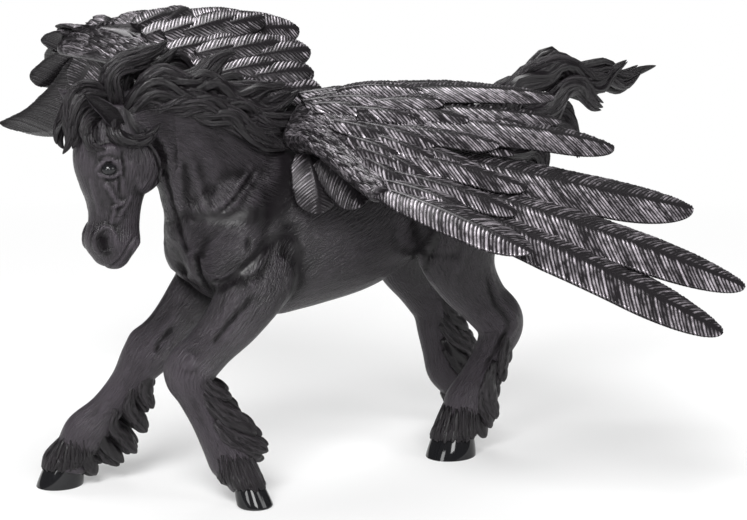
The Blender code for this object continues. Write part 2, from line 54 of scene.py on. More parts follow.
AHEAD = (1.0, 0.0, 0.0)
LEFT = (0.0, 1.0, 0.0)

# The trunk, as (ahead, height, half width, half height) from the breast to the rump.
TRUNK = [
    (27.0, 63.0, 6.0, 7.0),
    (22.0, 64.5, 12.0, 13.5),
    (12.0, 66.5, 15.0, 20.0),
    (0.0, 68.0, 16.0, 24.0),
    (-12.0, 67.5, 17.0, 22.5),
    (-25.0, 67.5, 17.5, 20.0),
    (-38.0, 70.5, 16.5, 17.0),
    (-50.0, 73.0, 16.0, 15.6),
    (-62.0, 74.5, 15.0, 14.0),
    (-71.0, 75.5, 10.5, 9.5),
    (-76.0, 76.0, 5.0, 5.0),
]

# The neck, as (ahead, height, half width, half depth) from inside the shoulder to the poll.
NECK = [
    (3.0, 70.0, 13.5, 22.0),
    (12.0, 79.0, 11.0, 20.5),
    (20.0, 88.0, 9.0, 14.8),
    (28.0, 94.0, 7.6, 11.8),
    (36.0, 97.0, 6.6, 9.6),
    (42.5, 96.5, 6.0, 7.5),
]

# The head, as (ahead, height, half width, half depth) from the lips to the poll.
HEAD = [
    (44.6, 61.6, 1.8, 1.5),
    (44.6, 63.0, 3.5, 3.6),
    (44.8, 65.2, 4.8, 5.4),
    (44.9, 68.6, 6.1, 7.2),
    (44.3, 73.0, 5.3, 6.6),
    (43.9, 78.0, 5.6, 7.0),
    (43.8, 83.0, 6.6, 9.0),
    (43.8, 88.0, 7.4, 10.4),
    (43.7, 93.0, 7.2, 10.2),
    (43.6, 98.0, 6.3, 8.2),
    (43.2, 102.5, 4.4, 5.0),
]

# Each leg, as (ahead, left, height, half width, half depth) down to the coronet.
RIGHT_FORE = [
    (6.0, -8.5, 64.0, 6.5, 14.0),
    (10.0, -10.5, 54.0, 6.8, 10.8),
    (16.0, -12.0, 46.5, 6.5, 8.8),
    (23.0, -12.5, 40.0, 5.9, 6.9),
    (29.8, -12.8, 34.5, 6.2, 6.5),
    (34.5, -15.0, 27.5, 4.4, 4.6),
    (39.5, -17.5, 20.5, 4.3, 4.5),
    (44.5, -19.8, 14.5, 5.4, 5.9),
    (47.5, -21.8, 9.5, 4.7, 4.8),
    (49.0, -23.2, 5.5, 5.8, 6.0),
]
LEFT_FORE = [
    (4.5, 8.5, 64.0, 6.5, 14.0),
    (11.0, 11.0, 55.0, 7.2, 10.0),
    (17.5, 11.6, 47.0, 6.5, 7.6),
    (24.0, 11.0, 40.8, 5.8, 6.2),
    (29.6, 10.3, 35.0, 6.1, 6.5),
    (28.2, 10.4, 29.0, 4.5, 4.7),
    (25.2, 11.0, 22.5, 4.1, 4.4),
    (22.2, 11.8, 16.0, 4.6, 4.9),
    (19.6, 13.0, 10.8, 5.3, 5.8),
    (18.4, 15.2, 7.4, 4.3, 4.4),
    (17.6, 17.0, 5.4, 4.4, 4.4),
]
LEFT_HIND = [
    (-56.0, 7.5, 76.0, 7.0, 15.0),
    (-54.5, 9.5, 66.0, 8.5, 15.5),
    (-53.0, 11.5, 57.5, 7.8, 13.0),
    (-55.0, 12.8, 50.0, 6.4, 9.6),
    (-60.5, 13.4, 42.5, 5.2, 7.4),
    (-66.5, 13.6, 35.5, 5.1, 7.2),
    (-64.0, 13.4, 28.5, 4.2, 5.4),
    (-59.0, 12.9, 21.5, 4.0, 4.6),
    (-55.0, 12.3, 14.5, 5.1, 5.8),
    (-53.0, 12.2, 9.5, 4.5, 4.7),
    (-51.5, 12.4, 5.5, 5.6, 6.0),
]
RIGHT_HIND = [
    (-56.0, -7.5, 76.0, 7.0, 15.0),
    (-53.5, -9.5, 66.0, 8.5, 15.0),
    (-51.5, -11.5, 57.5, 7.6, 12.4),
    (-53.0, -13.0, 50.0, 6.2, 9.2),
    (-58.0, -14.0, 42.5, 5.2, 7.0),
    (-63.0, -14.4, 35.5, 4.9, 6.4),
    (-63.6, -14.2, 28.5, 4.2, 5.0),
    (-64.8, -13.8, 22.0, 4.0, 4.6),
    (-66.6, -13.4, 16.0, 4.5, 4.9),
    (-71.0, -13.0, 10.6, 4.2, 4.4),
    (-73.0, -12.8, 7.0, 4.6, 4.6),
]

# The hooves, as (top, sole, half width, half length): the sole's middle may reach below the
# ground, where the mould's flat cuts it off.
HOOF_FLARE = 1.16
HOOVES = {
    "right_fore": ((49.2, -23.4, 6.2), (50.2, -24.4, -1.0), 4.9, 5.2),
    "left_fore": ((17.4, 17.6, 6.0), (16.2, 19.8, -0.3), 4.0, 3.8),
    "left_hind": ((-51.3, 12.5, 6.2), (-50.4, 12.8, -1.0), 5.5, 6.0),
    "right_hind": ((-73.4, -12.8, 6.6), (-73.0, -12.4, -0.6), 4.4, 4.4),
}

# Muscles and bony points, as (ahead, left, height), (half sizes), pitch in degrees. Each is made
# on both sides.
MUSCLES = [
    ((15.0, 10.5, 68.0), (8.5, 5.5, 14.0), -28.0),
    ((13.0, 10.5, 58.0), (9.0, 5.5, 7.5), 0.0),
    ((-57.0, 9.0, 72.0), (15.0, 7.5, 13.0), 20.0),
    ((-67.0, 7.5, 66.0), (5.5, 6.0, 10.0), 0.0),
    ((39.0, 3.6, 87.5), (7.0, 3.8, 7.6), 0.0),
    ((47.5, 5.4, 91.6), (3.4, 2.2, 2.4), 0.0),
    ((48.4, 3.7, 68.6), (1.7, 1.7, 2.6), 0.0),
    ((20.0, 4.5, 72.5), (7.3, 7.2, 10.0), 0.0),
    ((17.0, 7.5, 73.0), (8.0, 6.5, 12.0), -20.0),
]

# Hair locks: (root, bends, tip) and (half width, half thickness) of the widest part. The taper
# gives the share of that size at a share of the length.
LOCK_TAPER = ((0.0, 0.7), (0.3, 1.0), (0.7, 0.75), (1.0, 0.22))
EAR = [((44.8, 6.6, 97.3), (48.8, 8.2, 101.6), (54.6, 7.4, 106.2)), (2.1, 1.4)]
FORELOCK = [
    [((44.0, 0.5, 104.5), (52.0, 2.5, 105.5), (56.0, 3.0, 98.0), (59.2, 0.5, 90.8)), (3.4, 2.2)],
    [((45.0, 1.0, 103.0), (51.0, 3.5, 99.5), (52.4, 6.3, 94.6), (49.0, 8.2, 92.6)), (3.0, 1.8)],
    [((44.0, -2.0, 104.5), (51.5, -3.5, 104.0), (55.0, -4.0, 97.0), (54.0, -4.5, 91.0)), (3.4, 2.2)],
    [((46.0, 4.5, 100.0), (47.0, 8.0, 96.0), (41.0, 9.0, 95.0), (34.0, 8.0, 98.0)), (2.6, 1.6)],
]
MANE = [
    [((43.0, 1.0, 102.0), (45.0, 2.0, 109.5), (37.0, 2.5, 113.0), (28.7, 1.5, 118.5)), (3.6, 2.8)],
    [((40.0, -1.5, 102.0), (38.0, -3.0, 110.0), (30.0, -3.0, 111.5), (23.0, -2.0, 115.0)), (4.0, 2.8)],
    [((37.0, 2.0, 102.0), (33.0, 4.5, 108.0), (21.0, 4.0, 108.5), (9.5, 3.0, 114.3)), (4.2, 2.6)],
    [((33.0, -2.0, 103.0), (26.0, -5.0, 109.0), (16.0, -5.5, 107.5), (7.0, -4.5, 111.0)), (4.0, 2.6)],
    [((42.0, 3.0, 100.0), (38.0, 6.0, 105.5), (28.0, 7.2, 105.5), (16.0, 6.4, 108.0)), (4.0, 2.4)],
    [((30.0, 2.0, 102.5), (20.0, 5.4, 105.5), (8.0, 5.0, 103.0), (-4.5, 4.0, 106.2)), (4.2, 2.6)],
    [((26.0, -1.5, 103.0), (15.0, -4.5, 104.5), (5.0, -5.0, 102.0), (-6.0, -4.0, 103.5)), (4.0, 2.6)],
    [((24.0, 3.0, 100.0), (13.0, 6.0, 101.0), (1.0, 5.5, 99.5), (-9.5, 3.5, 102.4)), (4.0, 2.3)],
    [((18.0, 1.0, 100.0), (8.0, 2.5, 99.5), (-1.5, 2.0, 96.5), (-10.0, 1.5, 97.0)), (4.0, 2.6)],
    [((17.0, 4.0, 96.5), (9.0, 6.5, 95.5), (2.5, 7.0, 91.0), (-6.0, 6.5, 88.0)), (3.4, 1.9)],
    [((12.0, -2.0, 97.0), (4.0, -4.0, 95.5), (-4.0, -3.5, 93.0), (-12.0, -2.5, 93.0)), (3.6, 2.2)],
    [((8.0, 0.5, 94.5), (0.0, 1.0, 94.0), (-8.0, 1.0, 91.0), (-15.0, 0.5, 89.5)), (3.4, 2.1)],
]
SIDE_LOCKS = [
    [((12.0, 4.5, 98.0), (4.0, 7.0, 97.2), (-3.0, 7.5, 95.6), (-9.0, 7.0, 92.5)), (3.0, 1.9)],
    [((38.0, 4.0, 100.5), (30.0, 7.0, 103.5), (20.0, 7.6, 102.0), (11.0, 7.0, 101.0)), (3.0, 1.8)],
    [((33.0, 4.5, 101.0), (24.0, 7.8, 101.5), (14.0, 8.2, 98.5), (5.0, 7.8, 97.0)), (3.0, 1.8)],
    [((27.0, 5.0, 100.0), (18.0, 8.4, 98.5), (9.0, 9.2, 94.5), (0.0, 8.6, 92.0)), (3.0, 1.8)],
    [((20.0, 5.5, 98.0), (12.0, 9.0, 95.0), (5.0, 9.8, 90.5), (-3.0, 9.2, 88.0)), (2.8, 1.7)],
    [((33.0, -4.5, 101.0), (24.0, -7.8, 101.5), (14.0, -8.2, 98.5), (5.0, -7.8, 97.0)), (3.0, 1.8)],
    [((24.0, -5.0, 99.0), (15.0, -8.4, 96.5), (7.0, -9.2, 92.5), (-2.0, -8.6, 90.0)), (3.0, 1.8)],
]
TAIL = [
    [
        (
            (-70.0, 0.0, 82.0),
            (-78.5, 0.5, 94.5),
            (-93.0, 1.0, 104.0),
            (-112.0, 1.5, 100.5),
            (-136.5, 1.0, 101.6),
        ),
        (5.0, 3.6),
    ],
    [
        (
            (-71.0, 1.5, 83.0),
            (-76.5, 3.0, 95.0),
            (-91.5, 3.5, 104.5),
            (-107.0, 3.0, 99.5),
            (-122.5, 3.5, 105.0),
        ),
        (5.0, 3.4),
    ],
    [
        (
            (-71.0, -1.5, 83.0),
            (-80.0, -3.0, 97.0),
            (-95.0, -4.0, 101.0),
            (-112.0, -3.5, 96.5),
            (-130.5, -3.0, 97.5),
        ),
        (5.0, 3.6),
    ],
    [
        (
            (-72.0, 1.0, 81.0),
            (-82.0, 3.5, 90.0),
            (-95.0, 5.0, 97.0),
            (-104.0, 4.5, 95.0),
            (-113.0, 3.5, 93.0),
        ),
        (5.0, 3.4),
    ],
    [
        (
            (-73.0, -1.0, 80.0),
            (-83.0, -3.5, 87.0),
            (-94.0, -5.0, 93.0),
            (-103.5, -4.5, 89.5),
            (-109.5, -4.0, 82.5),
        ),
        (4.8, 3.4),
    ],
    [
        (
            (-73.0, 0.0, 79.0),
            (-84.0, 0.5, 84.0),
            (-93.0, 1.5, 88.0),
            (-101.0, 2.0, 84.0),
            (-104.0, 2.5, 76.0),
        ),
        (4.4, 3.2),
    ],
    [((-73.0, 0.0, 78.0), (-82.0, -1.5, 79.5), (-90.0, -2.0, 78.0), (-95.0, -2.0, 70.0)), (4.0, 3.0)],
    [((-69.0, 0.0, 84.0), (-69.0, 2.0, 91.5), (-73.0, 3.0, 96.5), (-81.0, 3.0, 98.5)), (3.4, 2.4)],
]

# Hair on the lower legs: the leg that carries it, and the (height, reach back, drop) of its lobes.
LEG_HAIR = [
    (
        RIGHT_FORE,
        (
            (28.0, 6.5, 4.0),
            (24.0, 9.5, 5.0),
            (19.0, 12.5, 6.0),
            (14.0, 14.5, 6.5),
            (9.5, 13.5, 5.5),
            (7.0, 9.0, 4.0),
        ),
    ),
    (
        LEFT_FORE[4:],
        ((29.0, 10.0, 1.5), (25.0, 11.5, 3.0), (20.5, 13.0, 3.0), (16.5, 13.5, 2.5), (13.0, 10.0, 1.5)),
    ),
    (
        LEFT_HIND[5:],
        ((27.5, 5.0, 4.5), (23.5, 5.8, 5.5), (19.0, 7.5, 6.0), (14.5, 9.5, 6.5), (10.5, 9.5, 5.5)),
    ),
    (
        RIGHT_HIND[5:],
        (
            (34.0, 9.5, 1.5),
            (31.0, 12.0, 3.0),
            (27.5, 13.5, 3.0),
            (24.0, 13.0, 3.5),
            (20.5, 11.5, 4.0),
            (17.0, 9.0, 4.0),
        ),
    ),
]

# A lobe is a fan of locks: their turns to the side, how far a turn spreads and shortens them, how
# much they scatter, and a lock's path as (rise, share of the drop, share of the reach, spread).
LOBE_TURNS = (-1.4, -1.0, -0.6, -0.2, 0.2, 0.6, 1.0, 1.4)
LOBE_SPREAD = 2.4
LOBE_SIDE_SHORTER = 1.5
LOBE_HEIGHT_SCATTER = 1.8
LOBE_REACH_SCATTER = 1.2
LOBE_HALF_WIDTHS = (1.7, 2.5)
LOBE_TAPER = (0.6, 1.0, 1.0, 0.95)
LOBE_HALF_THICKNESSES = (0.8, 1.2, 1.2, 0.9)
LOBE_PATH = (
    (7.5, 0.0, 0.0, 1.15),
    (2.5, 0.0, 0.3, 1.3),
    (0.0, 0.3, 0.75, 1.35),
    (0.0, 1.0, 1.05, 1.3),
)

# Hair over the hooves: the turn from one lock to the next, how far the hair swells, the height
# that the skin it lies on stays below, and its layers as (turn in steps, rise above the hoof).
CORONET_STEP = 0.18
CORONET_SWELL = 0.5
CORONET_SKIN_BELOW = 24.0
CORONET_LAYERS = ((0.0, 7.5), (0.5, 4.5))

# The wings: the arm from the boss to the wrist and the palm behind it, as rows of (ahead, left,
# height, half length, half thickness), then the feathers as (root, middle, tip, half width) from
# the back to the leading edge. The normals are the ways that the feathers face, at the back, in the
# middle and at the front. The covert rows are (place along the chord, length). The two wings are
# posed differently, as in a wing beat.
LEFT_WING = {
    "boss": (-7.0, 10.5, 88.0),
    "covert_rows": ((-0.9, 30.0), (-0.3, 24.0), (0.3, 18.0), (0.75, 12.0)),
    "normals": ((0.10, 0.20, 0.97), (0.10, 0.35, 0.92), (0.10, 0.50, 0.86)),
    "arm": [
        (-7.0, 11.0, 92.0, 9.0, 5.0),
        (-5.5, 18.0, 93.0, 7.5, 3.8),
        (-4.5, 30.0, 89.0, 5.5, 3.0),
        (-3.0, 40.0, 85.2, 4.4, 2.8),
        (-2.5, 48.5, 82.2, 3.2, 2.2),
    ],
    "palm": [
        (-10.5, 7.5, 98.8, 10.0, 3.6),
        (-14.5, 18.0, 98.4, 13.0, 3.0),
        (-15.0, 30.0, 92.6, 12.0, 2.6),
        (-12.0, 42.0, 86.0, 9.0, 2.0),
    ],
    "feathers": [
        ((-12.0, 10.0, 101.0), (-34.0, 12.5, 103.4), (-59.0, 20.0, 102.2), 5.5),
        ((-14.0, 16.0, 101.0), (-42.0, 21.5, 102.8), (-72.0, 28.0, 99.6), 7.4),
        ((-14.0, 25.0, 97.0), (-46.0, 38.0, 94.6), (-76.0, 48.0, 88.0), 9.6),
        ((-12.0, 33.0, 92.0), (-47.0, 55.8, 83.0), (-80.6, 73.4, 74.8), 11.0),
        ((-8.0, 41.0, 87.0), (-41.5, 71.0, 75.2), (-72.4, 100.4, 60.6), 9.2),
        ((-6.0, 45.0, 84.5), (-31.0, 75.0, 71.8), (-58.0, 108.0, 52.8), 8.6),
        ((-4.0, 47.0, 83.0), (-9.5, 65.0, 79.6), (-20.0, 84.0, 72.2), 6.6),
    ],
    "coverts": [
        ((-13.0, 13.0, 100.2), (-38.0, 17.5, 101.6), (-64.0, 24.5, 99.8), 6.5),
        ((-14.0, 20.0, 98.5), (-40.0, 29.5, 98.4), (-68.0, 36.0, 94.2), 6.4),
        ((-12.0, 15.0, 103.0), (-28.0, 19.0, 103.5), (-47.0, 27.0, 98.0), 5.6),
        ((-11.0, 25.0, 99.0), (-28.0, 31.0, 97.0), (-47.0, 40.0, 89.8), 6.0),
        ((-9.0, 34.0, 93.0), (-24.0, 45.0, 88.4), (-40.5, 58.0, 80.0), 6.4),
    ],
    "lobes": [
        ((-4.0, 13.0, 88.0), (-3.0, 18.5, 81.0), (-3.0, 20.0, 73.6), 5.6),
        ((-6.0, 17.0, 87.0), (-9.5, 23.0, 81.5), (-11.5, 27.5, 76.0), 5.4),
    ],
}
RIGHT_WING = {
    "boss": (-5.0, -10.5, 88.0),
    "covert_rows": ((-0.7, 22.0), (-0.2, 20.0), (0.3, 16.0), (0.75, 12.0)),
    "normals": ((0.10, 0.85, 0.50), (-0.05, 0.70, 0.70), (-0.45, -0.30, 0.77)),
    "arm": [
        (-4.5, -11.5, 90.5, 9.0, 6.0),
        (4.0, -17.0, 98.5, 7.5, 3.8),
        (14.0, -26.0, 106.5, 6.0, 3.0),
        (26.0, -38.0, 111.5, 4.6, 2.8),
        (35.0, -48.5, 112.6, 3.2, 2.2),
    ],
    "palm": [
        (-6.0, -13.0, 98.0, 9.0, 3.0),
        (2.0, -21.0, 108.0, 12.0, 2.8),
        (12.0, -31.0, 115.6, 11.0, 2.6),
        (24.0, -41.0, 116.2, 8.0, 2.4),
        (33.0, -47.0, 114.0, 4.0, 2.0),
    ],
    "feathers": [
        ((2.0, -15.0, 101.0), (-12.0, -15.0, 101.0), (-25.7, -16.0, 98.8), 4.8),
        ((4.0, -19.0, 105.0), (-12.0, -20.5, 105.8), (-28.0, -22.0, 104.4), 5.2),
        ((6.0, -23.0, 109.5), (-12.0, -25.5, 111.0), (-30.7, -28.0, 109.8), 5.6),
        ((9.0, -28.0, 114.0), (-11.0, -31.0, 116.0), (-31.0, -34.5, 115.4), 5.8),
        ((12.0, -33.0, 115.4), (-9.0, -38.0, 116.4), (-28.0, -40.0, 117.6), 5.4),
        ((16.0, -37.0, 116.4), (-6.0, -46.0, 117.4), (-27.0, -52.0, 117.6), 6.0),
        ((20.0, -40.0, 116.5), (-3.0, -59.0, 116.5), (-26.0, -76.0, 112.5), 8.2),
        ((24.0, -43.0, 116.0), (6.0, -70.0, 112.5), (-13.0, -93.0, 103.5), 9.0),
        ((28.0, -45.0, 114.5), (17.0, -77.0, 105.0), (5.0, -104.0, 94.0), 9.4),
        ((26.0, -44.0, 112.0), (22.0, -79.0, 91.5), (26.6, -108.0, 84.2), 8.4),
        ((29.5, -46.0, 111.5), (28.6, -62.0, 106.0), (29.6, -77.0, 99.4), 5.4),
    ],
    "coverts": [
        ((28.0, -42.0, 110.5), (27.0, -50.0, 105.5), (27.8, -56.5, 100.2), 5.0),
    ],
    "lobes": [
        ((-3.0, -14.0, 90.0), (-2.5, -18.0, 82.0), (-3.0, -20.0, 74.0), 5.6),
        ((-5.0, -17.0, 89.0), (-9.5, -22.0, 83.0), (-12.0, -26.0, 77.0), 5.4),
    ],
}

# How bright the sky is.
SKY = 0.1

# The waves of the mane and the tail: their length, and their height as a share of the lock. The
# rows of a lock crowd towards its tip, so that it ends round.
WAVE_LENGTH = 16.0
WAVE_HEIGHT = 0.36
TIP_CROWDING = 1.45
TUFT_ROWS = 24

# The left eye.
EYE_CENTRE = (48.1, 5.9, 87.5)
EYE_HALF_SIZES = (2.0, 1.95, 1.55)

# Tones of the plastic, and of the painted highlight on its ridges, strands and barbs.
BLACK = (0.006, 0.005, 0.006)
BLACK_PAINTED_HIGHLIGHT = (0.041, 0.0345, 0.042)
HAIR_PAINTED_HIGHLIGHT = (0.030, 0.026, 0.030)
WING_DARK = (0.020, 0.018, 0.020)
WING_PAINTED_HIGHLIGHT = (0.48, 0.44, 0.48)
GLOSS_BLACK = (0.008, 0.008, 0.009)

# Softer forms under the skin, as (centre), width, height: bumps that the solids leave out.
BUMPS = [
    ((39.8, 6.9, 88.6), 5.2, 0.7),
    ((46.8, 8.0, 93.4), 2.6, 0.5),
    ((31.8, 14.4, 39.4), 2.4, 0.5),
    ((32.7, -8.1, 36.0), 2.4, 0.5),
    ((40.4, 4.6, 66.6), 1.8, 0.35),
    ((-45.0, 17.0, 66.0), 7.0, 0.6),
    ((-12.0, 16.5, 66.0), 12.0, 0.5),
]

# Painted shade on both sides, as (centre), radius: the nostrils are painted darker.
HOLLOWS = [
    ((49.9, 4.0, 70.4), 2.0),
    ((49.6, 4.6, 68.4), 1.9),
    ((49.0, 5.0, 66.6), 1.4),
]

# Creases and ridges on both sides: (path), width, height. A negative height is a crease.
STROKES = [
    (
        ((51.2, 4.8, 86.7), (50.6, 6.3, 88.7), (48.8, 7.4, 89.6), (46.6, 7.7, 89.1), (44.8, 7.3, 87.3)),
        0.5,
        0.42,
    ),
    (
        ((51.2, 4.8, 86.7), (49.9, 6.1, 85.9), (47.9, 6.9, 85.6), (46.1, 7.2, 86.1), (44.8, 7.3, 87.3)),
        0.45,
        0.3,
    ),
    (((50.9, 6.0, 90.2), (49.2, 7.5, 91.0), (46.8, 8.1, 90.7)), 0.35, -0.25),
    (((49.6, 6.0, 84.9), (47.7, 6.6, 84.5), (45.9, 7.0, 85.1)), 0.4, -0.22),
    (((51.4, 5.2, 91.9), (49.2, 8.1, 93.0), (46.6, 9.0, 93.5)), 1.0, 0.35),
    (((49.3, 5.7, 84.2), (47.6, 5.7, 81.8), (45.8, 5.5, 79.2), (44.1, 5.6, 78.9)), 0.6, 0.45),
    (((46.1, 7.2, 86.4), (45.8, 6.8, 84.4), (45.4, 6.1, 81.2)), 0.35, -0.32),
    (((45.2, 7.6, 92.6), (44.9, 7.2, 88.0), (44.7, 6.9, 84.6)), 0.35, -0.3),
    (((42.6, 7.0, 90.0), (41.8, 7.0, 86.0), (40.6, 6.6, 83.6), (38.4, 6.2, 82.4)), 1.6, 0.3),
    (((47.5, 4.8, 77.9), (45.3, 5.4, 78.3), (43.4, 5.9, 80.0)), 0.45, 0.32),
    (((41.8, 6.0, 80.8), (43.3, 5.6, 78.7), (44.8, 5.3, 76.3), (46.2, 4.9, 73.5)), 0.7, 0.35),
    (((51.8, 3.6, 85.8), (51.1, 3.3, 83.1), (50.2, 2.9, 79.7), (49.4, 2.9, 74.9)), 0.7, 0.3),
    (((46.2, 5.6, 79.0), (46.8, 5.2, 76.0), (47.4, 4.8, 73.4)), 0.6, 0.3),
    (
        (
            (49.2, 3.4, 65.6),
            (50.9, 2.9, 68.6),
            (50.3, 3.1, 71.6),
            (48.6, 4.4, 73.0),
            (47.0, 5.6, 71.4),
            (46.8, 5.6, 68.0),
        ),
        0.7,
        0.55,
    ),
    (((49.6, 4.4, 71.0), (49.3, 4.8, 68.8), (48.8, 5.1, 66.6)), 1.5, -1.1),
    (
        (
            (40.6, 4.4, 70.9),
            (42.9, 5.8, 68.5),
            (43.9, 5.8, 66.6),
            (45.2, 5.3, 64.1),
            (46.6, 3.6, 62.6),
            (47.2, 0.0, 62.2),
        ),
        0.4,
        -0.6,
    ),
    (((39.4, 3.8, 69.0), (41.0, 4.9, 67.4), (41.8, 4.9, 65.4)), 0.7, 0.35),
    (
        ((39.3, 8.6, 96.8), (34.8, 6.4, 92.6), (33.0, 5.8, 88.5), (34.2, 6.1, 84.6), (37.0, 4.0, 81.0)),
        0.9,
        -0.8,
    ),
    (
        (
            (33.0, 5.4, 86.4),
            (31.4, 3.9, 82.8),
            (29.8, 3.0, 77.7),
            (28.6, 3.6, 72.1),
            (27.7, 5.5, 66.3),
            (26.7, 6.4, 63.5),
        ),
        0.7,
        -0.7,
    ),
    (((30.4, 7.2, 92.4), (28.4, 7.2, 88.8), (27.6, 6.6, 82.5), (27.0, 6.0, 76.0)), 0.9, -0.35),
    (((30.2, 5.2, 89.0), (29.6, 4.6, 82.0), (29.0, 3.8, 74.0)), 1.6, 0.5),
    (((28.8, 7.6, 92.0), (26.0, 8.0, 84.5), (24.4, 7.9, 79.5), (22.8, 10.7, 72.0)), 0.7, 0.4),
    (((27.0, 8.4, 95.0), (22.0, 9.5, 88.0), (20.0, 10.0, 80.0)), 2.4, 0.35),
    (
        ((10.3, 9.7, 85.5), (12.9, 10.2, 83.1), (16.3, 10.6, 79.4), (19.4, 10.7, 76.4), (22.3, 9.7, 74.1)),
        0.5,
        0.45,
    ),
    (
        ((9.9, 9.9, 84.8), (11.9, 10.4, 82.3), (15.5, 11.3, 79.4), (18.8, 11.6, 76.4), (21.2, 10.5, 74.2)),
        0.4,
        -0.4,
    ),
    (
        ((8.9, 9.9, 84.7), (10.9, 10.7, 81.9), (15.0, 12.4, 79.0), (18.3, 12.8, 76.0), (20.6, 11.7, 74.1)),
        0.55,
        0.45,
    ),
    (((7.3, 10.4, 83.8), (11.9, 14.1, 77.6), (15.7, 15.6, 70.6), (19.6, 15.2, 64.4)), 2.4, 0.5),
    (((27.4, -1.4, 71.8), (27.6, 1.0, 65.1), (26.0, 4.0, 59.9)), 0.8, 0.5),
    (((26.8, 8.0, 66.1), (26.4, 6.2, 60.6), (22.0, 3.6, 54.4)), 1.4, 0.7),
    (((26.2, 9.8, 64.1), (24.2, 8.4, 58.5), (20.4, 7.4, 54.0)), 1.1, 0.6),
    (((26.4, 8.9, 65.4), (25.0, 7.3, 60.0), (21.4, 5.4, 54.0)), 0.7, -0.9),
    (((28.0, 0.0, 67.0), (26.4, 0.0, 60.0), (21.0, 0.0, 52.0)), 1.2, -0.9),
    (((15.4, 15.9, 69.6), (15.9, 15.6, 66.0)), 0.9, -0.6),
    (
        ((23.4, 10.0, 56.2), (19.7, 14.0, 59.8), (16.3, 16.1, 59.8), (13.1, 16.4, 62.0), (9.0, 15.2, 66.6)),
        1.0,
        0.4,
    ),
    (
        ((23.0, 11.6, 54.8), (19.2, 14.9, 57.6), (16.3, 16.8, 57.8), (12.6, 17.0, 59.8), (7.9, 15.6, 64.0)),
        0.8,
        -0.5,
    ),
    (((16.2, 16.8, 58.0), (13.7, 17.7, 56.0), (11.3, 18.1, 54.2)), 0.8, 0.5),
    (((5.0, 15.6, 62.0), (3.4, 16.6, 67.0), (2.6, 16.6, 73.0)), 1.6, -0.6),
    (((-32.0, 16.6, 72.8), (-34.2, 16.5, 68.1), (-34.8, 16.1, 65.1), (-39.1, 13.6, 59.8)), 1.1, -0.5),
    (((-30.1, 16.7, 71.2), (-31.4, 16.7, 66.4), (-31.0, 16.1, 62.1)), 1.4, 0.45),
    (((-30.1, 14.9, 61.0), (-37.4, 14.8, 58.0), (-42.9, 15.9, 56.6)), 1.1, -0.35),
    (((-41.2, 15.3, 58.2), (-45.2, 17.2, 57.4), (-50.2, 18.4, 57.6)), 1.0, -0.25),
    (((-56.0, 16.5, 80.0), (-60.0, 17.2, 72.0), (-62.4, 16.6, 64.0)), 1.8, -0.5),
    (((-38.5, 12.6, 58.5), (-41.5, 11.6, 53.7), (-44.0, 13.3, 49.3)), 0.9, 0.6),
]

# The same on one leg each.
LEG_STROKES = [
    (((17.5, 16.5, 56.3), (21.8, 15.5, 51.2), (24.2, 15.1, 47.9), (27.0, 14.6, 44.6)), 1.1, 0.6),
    (((14.1, 18.2, 51.9), (20.0, 17.6, 47.4), (24.1, 16.6, 43.6)), 1.0, 0.55),
    (((15.4, 17.9, 54.5), (19.3, 17.2, 50.3), (22.9, 16.6, 46.4), (26.4, 15.6, 42.6)), 0.7, -0.8),
    (((31.0, 13.6, 42.2), (29.5, 15.3, 40.3)), 0.6, -0.6),
    (((33.6, 13.7, 37.6), (32.0, 15.1, 36.5), (29.8, 16.0, 37.1)), 0.6, -0.5),
    (((29.2, 14.9, 31.1), (26.8, 14.9, 23.7), (23.6, 16.0, 17.0)), 0.9, 0.5),
    (((31.0, 13.6, 31.1), (28.8, 13.8, 23.7), (25.6, 15.0, 17.0)), 0.8, -0.4),
    (((-51.0, 16.8, 60.0), (-47.5, 15.9, 51.5), (-49.5, 15.9, 45.5)), 0.9, 0.5),
    (
        (
            (-57.5, 18.5, 56.7),
            (-61.9, 18.4, 43.9),
            (-66.9, 18.1, 39.1),
            (-68.0, 18.1, 35.4),
            (-65.0, 18.0, 31.3),
            (-59.9, 17.1, 24.1),
            (-57.0, 16.7, 20.4),
        ),
        0.7,
        0.7,
    ),
    (
        (
            (-56.2, 18.8, 54.1),
            (-60.2, 18.5, 43.7),
            (-64.4, 18.4, 38.7),
            (-64.9, 18.0, 34.7),
            (-61.8, 17.0, 28.2),
            (-57.2, 16.6, 21.0),
        ),
        0.8,
        -0.8,
    ),
    (((-61.7, -9.6, 38.2), (-64.0, -9.7, 33.0), (-63.5, -10.1, 25.2)), 0.7, 0.6),
    (((24.4, -7.2, 43.2), (27.7, -7.4, 40.2), (29.4, -7.4, 38.0), (29.5, -7.2, 35.8)), 0.6, -0.9),
    (((22.9, -7.2, 46.0), (27.6, -7.6, 41.8), (31.5, -8.3, 38.5)), 0.9, 0.7),
    (((35.4, -10.4, 33.1), (39.8, -13.3, 26.2), (43.4, -15.0, 20.0)), 0.9, 0.55),
    (((37.4, -10.6, 32.1), (41.8, -13.6, 25.2), (45.4, -16.0, 19.0)), 0.7, -0.4),
]

# Mesh sizes: the voxels that fuse the forms, and the most triangles of a skin.
BODY_VOXEL = 0.52
HEAD_VOXEL = 0.27
ARM_VOXEL = 0.7
BODY_TRIANGLES = 160000
HEAD_TRIANGLES = 95000
TUBE_SIDES = 32
SPAN_STEPS = 8

# Where the head's skin starts, how far the two skins overlap, and how deep they sink there.
HEAD_FROM = 29.5
HEAD_OVERLAP = 2.0
HEAD_ABOVE = 76.0
SEAM_SINK = 0.2
GRAIN_SEAM = 0.16

# How strongly the painted highlight and shade of the ridges show on the coat, how much lighter the face and
# the legs are, and where those start.
RIDGE_LIGHT_SCALE = 0.8
FACE_AND_LEGS_LIGHTER = 0.65
FACE_CALM = 0.4
FACE_FROM = 34.0
FACE_FADE = 10.0
LEGS_BELOW = 56.0
LEGS_FADE = 30.0
